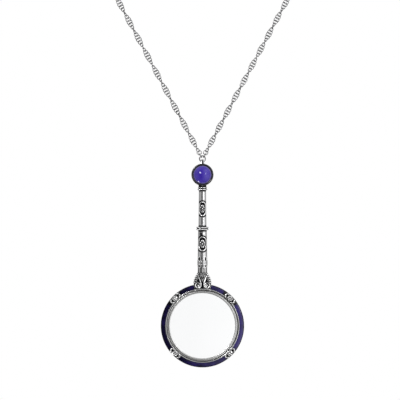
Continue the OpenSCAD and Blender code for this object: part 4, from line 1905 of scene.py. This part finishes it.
@dataclass
class ScrollMount:
    """The cast mount between the handle and the frame: scrolls, stems, leaves and beads.

    Attributes:
        outline: Height from the middle of the glass and half width, from the top down.
        lobes: Leaf lobes of the right side: place, half lengths and tilt.
        rise: Height of the ground above the frame's face.
        top_height: Height of the ground at the handle.
        voxel: Size of the cells of the skin.
        scroll, scroll_radius: Middle and radius of the right volute.
        leaves_from: Height from which the outer leaves and the top are darkened and the left side gets
            painted shade.
        hollow_depth: Depth of a hollow that is fully black.
    """

    outline: tuple[tuple[float, float], ...] = (
        (24.1, 2.25), (22.88, 2.75), (22.0, 3.3), (20.58, 3.75), (19.7, 3.9), (18.9, 4.0),
        (18.2, 3.9), (17.2, 3.6), (16.5, 3.3),
    )
    lobes: tuple[tuple[float, float, float, float, float], ...] = (
        (3.45, 19.72, 0.74, 0.42, 10), (3.3, 20.66, 0.74, 0.42, 25), (2.98, 21.57, 0.72, 0.41, 41),
        (2.58, 22.42, 0.68, 0.39, 55), (2.24, 23.28, 0.58, 0.34, 66),
    )
    rise: float = 0.4
    top_height: float = 1.95
    voxel: float = 0.066
    scroll: tuple[float, float] = (2.03, 18.5)
    scroll_radius: float = 1.27
    leaves_from: float = 19.0
    hollow_depth: float = 0.045

    def build(self, frame: LensFrame, palette: Palette) -> Pieces:
        """Builds the mount as one cast surface.

        Args:
            frame: The frame that it grips.
            palette: The finishes.

        Returns:
            The piece by node.
        """
        self.face = frame.half + frame.seam + 0.02
        self.grip = frame.radius + frame.seam + 0.02
        self.bore = frame.lip_inner + frame.seam + 0.02
        shells = [self._slab(self.grip, -1)]
        for shell in self._front():
            shells += [shell, shell.mirrored(2)]
        piece = build_piece("scroll_mount_casting", shells, [palette.cast])
        self._fuse(piece, frame)
        return {"scroll_mount": piece}

    def _level(self, height: Array | float) -> Array | float:
        """How far the ground of the front lies from the middle, at a height."""
        share = ramp(height, self.grip, self.outline[0][0] - self.grip)
        ground = self.face + self.rise
        return ground + (self.top_height - ground) * share

    def _fuse(self, piece: Piece, frame: LensFrame) -> None:
        """Joins the shells into one skin, stands it upright and marks its recesses.

        Args:
            piece: The mount's object, changed in place.
            frame: The frame that it grips.
        """
        piece.data.transform(Matrix.Scale(1 / MM, 4))
        modifier = piece.modifiers.new("skin", "REMESH")
        modifier.mode = "VOXEL"
        modifier.voxel_size = self.voxel
        graph = bpy.context.evaluated_depsgraph_get()
        mesh = bpy.data.meshes.new_from_object(piece.evaluated_get(graph), depsgraph=graph)
        piece.modifiers.clear()
        points = np.zeros(len(mesh.vertices) * 3)
        mesh.vertices.foreach_get("co", points)
        edges = np.zeros(len(mesh.edges) * 2, np.int64)
        mesh.edges.foreach_get("vertices", edges)
        normals = np.zeros(len(mesh.vertices) * 3)
        mesh.vertex_normals.foreach_get("vector", normals)
        edges, normals = edges.reshape(-1, 2), normals.reshape(-1, 3)
        points = self._relaxed(points.reshape(-1, 3), edges, 2)
        hollow = ((self._relaxed(points, edges, 16) - points) * normals).sum(1)
        recess = self._blackening(points, normals, hollow)
        upright = Shell(points, []).upright(frame.centre).points
        mesh.vertices.foreach_set("co", (upright * MM).ravel())
        values = mesh.attributes.get("recess") or mesh.attributes.new("recess", "FLOAT", "POINT")
        values.data.foreach_set("value", recess.astype(np.float32))
        mesh.materials.clear()
        mesh.materials.append(piece.data.materials[0])
        mesh.shade_smooth()
        mesh.update()
        piece.data = mesh

    def _blackening(self, points: Array, normals: Array, hollow: Array) -> Array:
        """Wear of the mount: black ground and hollows, darker outer leaves and top, and painted shade on its
        left side.

        Args:
            points: Places on the skin, face up.
            normals: Directions of the skin there.
            hollow: Depth of each place below its surroundings.

        Returns:
            Wear from -1 to 1.
        """
        low = ramp(self._level(points[:, 1]) + 0.16 - np.abs(points[:, 2]), 0, 0.12)
        low *= np.abs(normals[:, 2]) > 0.45
        across, up = np.abs(points[:, 0]), points[:, 1] - self.leaves_from
        leaves = np.clip((across - 1.1 - 0.32 * up) / 0.2, 0, 1) * ramp(up, 0, 0.3)
        darkening_and_painted_shade = np.maximum(0.85 * leaves, 0.3 * ramp(up, 0, 0.5) + 0.5 * ramp(up, 2.0, 0.8))
        # Painted shade: the left side is darker, as the side away from the light.
        darkening_and_painted_shade += 0.12 * ramp(-points[:, 0], 0.9, 0.4) * ramp(up, 0, 0.3)
        darkening_and_painted_shade *= np.clip((np.abs(points[:, 2]) - self.face + 0.35) / 0.3, 0.15, 1)
        return np.clip(hollow / self.hollow_depth + 0.85 * low + darkening_and_painted_shade, -1, 1)

    @staticmethod
    def _relaxed(points: Array, edges: Array, times: int) -> Array:
        """Points moved towards the mean of their neighbours, a number of times.

        Args:
            points: Rows of x, y and z.
            edges: Pairs of point numbers.
            times: How often they move.

        Returns:
            The moved points.
        """
        count = np.bincount(edges.ravel(), minlength=len(points))[:, None]
        for _ in range(times):
            total = np.zeros_like(points)
            np.add.at(total, edges[:, 0], points[edges[:, 1]])
            np.add.at(total, edges[:, 1], points[edges[:, 0]])
            points = points * 0.4 + 0.6 * total / count
        return points

    def _half_width(self, height: Array) -> Array:
        """Half the mount's width at a height."""
        rows = np.asarray(self.outline)[::-1]
        return np.interp(height, rows[:, 0], rows[:, 1])

    def _slab(self, hollow: float, back: float) -> Shell:
        """A slab of the outline above a round hollow, with the ground as its face.

        Args:
            hollow: Radius of the hollow below it.
            back: Height of its back, or -1 for a back like its face.

        Returns:
            The shell.
        """
        share = np.linspace(-1, 1, 61)[None, :]
        levels = np.linspace(0, 1, 41)[:, None]
        top = self.outline[0][0]
        y = np.full((41, 61), hollow)
        for _ in range(6):
            x = share * self._half_width(y)
            low = np.sqrt(np.maximum(hollow**2 - x**2, 0))
            y = low + (top - low) * levels
        face = self._level(y)
        rear = -face if back < 0 else np.minimum(back, face - 0.1)
        upper = np.stack([x, y, face], axis=2).reshape(-1, 3)
        lower = np.stack([x, y, rear + np.zeros_like(face)], axis=2).reshape(-1, 3)
        return sandwich(upper, lower, 41, 61)

    def _front(self) -> list[Shell]:
        """The front plate and everything raised on it."""
        shells = [self._slab(self.bore, self.face)]
        for shell in self._scroll() + self._leaves():
            shells += [shell, shell.mirrored(0)]
        return shells + self._middle() + self._bar()

    def _wire(self, knots: Sequence[tuple[float, float, float]], first: float, last: float) -> Shell:
        """A tapering wire through places given as x, y and height above the ground."""
        path = spline([(x, y, self._level(y) + up) for x, y, up in knots], 10)
        return tube(path, np.linspace(first, last, len(path)))

    def _scroll(self) -> list[Shell]:
        """The scroll of the right side with its stem and bead.

        Returns:
            The shells.
        """
        cx, cy = self.scroll
        share = np.linspace(0, 1, 80)
        turn = np.radians(172 + 450 * share)
        radius = self.scroll_radius * (1 - 0.12 * share - 0.42 * np.clip(share - 0.55, 0, 1) / 0.45)
        ground = self._level(cy)
        spiral = np.stack(
            [cx + radius * np.cos(turn), cy + radius * np.sin(turn), ground + 0.3 - 0.16 * share], axis=1
        )
        knots = [(2.0, 23.3, 0.02), (1.66, 22.2, 0.16), (1.24, 21.0, 0.24), (0.88, 19.8, 0.3)]
        stem = spline([*[(x, y, self._level(y) + up) for x, y, up in knots], tuple(spiral[0])], 10)
        path = np.concatenate([stem[:-1], spiral])
        thick = np.concatenate([np.linspace(0.22, 0.37, len(stem) - 1), 0.37 - 0.15 * share])
        return [tube(path, thick, 14), ellipsoid((cx + 0.03, cy, ground + 0.1), (0.36, 0.36, 0.34))]

    def _leaves(self) -> list[Shell]:
        """The lobes at the right edge and the vein that they grow from."""
        shells = [
            ellipsoid((x, y, self._level(y) + 0.12), (long, wide, 0.4), tilt) for x, y, long, wide,
            tilt in self.lobes
        ]
        shells.append(
            self._wire(
                [(2.85, 19.45, 0.1), (2.72, 20.4, 0.16), (2.36, 21.6, 0.16), (1.98, 22.9, 0.08)], 0.24, 0.16
            )
        )
        return shells

    def _middle(self) -> list[Shell]:
        """The leaf that hangs from the handle, and the row of beads above it.

        Returns:
            The shells.
        """
        shells = [
            self._wire(
                [(x, 24.0, -0.02), (x * 0.72, 22.8, 0.06), (x * 0.3, 21.4, 0.08), (0, 20.3, 0.1)], 0.27, 0.12
            )
            for x in (-1.5, -0.9, -0.3, 0.3, 0.9, 1.5)
        ]
        shells.append(self._wire([(-1.95, 23.98, 0.02), (0, 24.0, 0.06), (1.95, 23.98, 0.02)], 0.2, 0.2))
        shells += [
            ellipsoid((float(x), 23.62, self._level(23.62) + 0.1), (0.24, 0.24, 0.26))
            for x in np.linspace(-1.75, 1.75, 6)
        ]
        return shells

    def _bar(self) -> list[Shell]:
        """The smooth bar on the frame's lip, with a bead at each end."""
        radius, height = self.bore + 0.14, self._level(self.bore) + 0.04
        turn = np.radians(np.linspace(78.5, 101.5, 40))
        path = np.stack([radius * np.cos(turn), radius * np.sin(turn), np.full(40, height)], axis=1)
        return [
            tube(path, np.full(40, 0.3), 14), ellipsoid(path[0], (0.42, 0.36, 0.34)),
            ellipsoid(path[-1], (0.42, 0.36, 0.34))
        ]


# ---- studio


@dataclass
class Studio:
    """Pale floor, soft lights, white surroundings and the camera.

    Attributes:
        view_centre: Middle of the picture at the pendant, in millimetres.
        field_width: Width of the picture at the pendant, in millimetres.
        distance: Distance from the camera to the pendant, in millimetres.
    """

    view_centre: tuple[float, float, float] = (-1.12, -127.0, -223.85)
    field_width: float = 182.8
    distance: float = 950.0
    floor_height: float = -420.0
    floor_size: float = 700.0

    def build(self) -> None:
        """Builds the studio."""
        self._floor()
        self._world()
        self._camera()
        pendant, stone = Vector((0, -0.127, -0.25)), Vector((0, -0.127, -0.2123))
        self._light("key", pendant, (-0.42, -0.8, 0.42), 0.9, (0.23, 0.23), 3.4)
        self._light("soft fill", pendant, (0.57, -0.78, 0.24), 0.9, (0.3, 0.3), 1.05)
        self._light("low kicker", stone, (-0.5, 0.09, -0.86), 0.18, (0.025, 0.025), 0.05)
        view = bpy.context.scene.view_settings
        view.view_transform = "Standard"
        view.look = "None"
        view.exposure = 0.0
        view.gamma = 1.0

    def _floor(self) -> None:
        """A round floor below the pendant."""
        turn = full_turn(64)
        reach = self.floor_size / 2 * MM
        rim = [(reach * math.cos(a), -0.06 + reach * math.sin(a), self.floor_height * MM) for a in turn]
        mesh = bpy.data.meshes.new("floor")
        mesh.from_pydata(rim, [], [list(range(len(rim)))])
        mesh.materials.append(PaleFloor("floor paper").material())
        floor = bpy.data.objects.new("floor", mesh)
        bpy.context.scene.collection.objects.link(floor)
        floor.visible_glossy = False
        floor.visible_transmission = False

    def _camera(self) -> None:
        """The camera, level and straight in front."""
        data = bpy.data.cameras.new("camera")
        data.sensor_width = 36.0
        data.lens = data.sensor_width * self.distance / self.field_width
        data.clip_start, data.clip_end = 0.01, 20.0
        data.dof.use_dof = False
        camera = bpy.data.objects.new("camera", data)
        x, y, z = self.view_centre
        camera.location = (x * MM, (y - self.distance) * MM, z * MM)
        camera.rotation_euler = (math.pi / 2, 0, 0)
        bpy.context.scene.collection.objects.link(camera)
        bpy.context.scene.camera = camera

    @staticmethod
    def _light(
        name: str, target: Vector, direction: Sequence[float], distance: float, size: tuple[float, float],
        power: float
    ) -> None:
        """A rectangular light that faces the pendant.

        Args:
            name: Name of the light.
            target: Where it aims.
            direction: Direction from the target to the light.
            distance: Distance in metres.
            size: Width and height in metres.
            power: Power in watts.
        """
        data = bpy.data.lights.new(name, "AREA")
        data.shape, data.size, data.size_y, data.energy = "RECTANGLE", size[0], size[1], power
        light = bpy.data.objects.new(name, data)
        light.visible_transmission = False
        light.visible_camera = False
        towards = Vector(direction).normalized()
        light.location = target + towards * distance
        light.rotation_euler = towards.to_track_quat("Z", "Y").to_euler()
        bpy.context.scene.collection.objects.link(light)

    @staticmethod
    def _bands(
        canvas: Canvas, value: Socket, reach: float, rows: Sequence[tuple[float, float]], unit: float
    ) -> Socket:
        """Brightness that changes in steps along a direction.

        Args:
            canvas: The world's canvas.
            value: The direction, from minus to plus its reach.
            reach: Largest value.
            rows: Places and the brightness there.
            unit: Place that stands for the reach.

        Returns:
            The brightness.
        """
        ramp = canvas.add("ShaderNodeValToRGB", {0: canvas.spread(value, -reach, reach)})
        stops = ramp.color_ramp.elements
        while len(stops) < len(rows):
            stops.new(0.5)
        for stop, (place, tone) in zip(stops, rows):
            stop.position, stop.color = (place / unit + 1) / 2, (tone, tone, tone, 1)
        return ramp.outputs[0]

    @staticmethod
    def _world() -> None:
        """White surroundings for the eye, and soft bright and dark bands for reflections."""
        world = bpy.data.worlds.new("studio")
        world.use_nodes = True
        canvas = Canvas(world.node_tree)
        background = world.node_tree.nodes["Background"]
        place = canvas.add("ShaderNodeTexCoord").outputs["Generated"]
        parts = canvas.add("ShaderNodeSeparateXYZ", {0: place})
        ahead = canvas.math("MULTIPLY", parts.outputs[1], -1.0)
        turn = canvas.math("ARCTAN2", parts.outputs[0], ahead)
        bands = (
            (-180, 0.55), (-140, 0.4), (-108, 0.45), (-74, 0.8), (-48, 0.5), (-36, 0.25), (-30, 0.03),
            (-6, 0.03), (2, 0.37), (14, 0.7), (24, 1.25), (38, 1.57), (66, 1.4), (84, 1.0),
            (108, 0.58), (145, 0.42), (180, 0.55),
        )
        rises = (
            (-1, 0.45), (-0.5, 0.88), (-0.25, 1.15), (-0.1, 0.96), (0, 0.8), (0.15, 0.74), (0.5, 1.05),
            (1, 1.4)
        )
        steep = canvas.spread(canvas.math("ABSOLUTE", parts.outputs[2]), 0.72, 0.96)
        around = canvas.mix(steep, Studio._bands(canvas, turn, math.pi, bands, 180), (0.6, 0.6, 0.6, 1))
        tone = canvas.math("MULTIPLY", around, Studio._bands(canvas, parts.outputs[2], 1.0, rises, 1))
        path = canvas.add("ShaderNodeLightPath")
        seen = canvas.math("MAXIMUM", path.outputs["Is Camera Ray"], path.outputs["Is Transmission Ray"])
        canvas.join(canvas.mix(seen, tone, (1, 1, 1, 1)), background, "Color")
        bpy.context.scene.world = world


# ---- whole


def attach(pieces: Pieces, bodies: dict[str, list[str]]) -> None:
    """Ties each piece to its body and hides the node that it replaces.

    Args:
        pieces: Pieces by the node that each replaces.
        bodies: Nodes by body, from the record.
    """
    for node, piece in pieces.items():
        body = next(name for name, nodes in bodies.items() if node in nodes)
        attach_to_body(piece, body)
        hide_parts(node)
        log.info("%s: %d faces, rides on %s", piece.name, len(piece.data.polygons), body)


def plain(bounds: object) -> list[list[float]]:
    """A box of two corners as plain lists."""
    return [[float(value) for value in corner] for corner in bounds]


def main() -> None:
    """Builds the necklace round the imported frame."""
    logging.basicConfig(level=logging.INFO, format="%(name)s: %(message)s")
    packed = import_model()
    palette = Palette(Place.of("cabochon"))
    jump = Place.of("jump_ring").middle
    tree = LinkTree()
    pieces = {
        "chain_left": FineChain(
            Side.LEFT, half_turn=8.84, tail=6.89, first_turn=157.0, lead_turn=-37.6
        ).build(tree, jump, palette.chain),
        "chain_right": FineChain(Side.RIGHT, half_turn=7.94, tail=4.29).build(tree, jump, palette.chain),
    }
    pieces.update(Rings().build(palette.chain))
    pieces.update(StoneCup().build(palette))
    pieces.update(Handle().build(palette))
    frame = LensFrame()
    pieces.update(frame.build(palette))
    pieces.update(Plaques().build(frame, palette))
    pieces.update(ScrollMount().build(frame, palette))
    attach(pieces, packed["record"]["behaviour"]["bodies"])
    Studio().build()


if __name__ == "__main__":
    main()
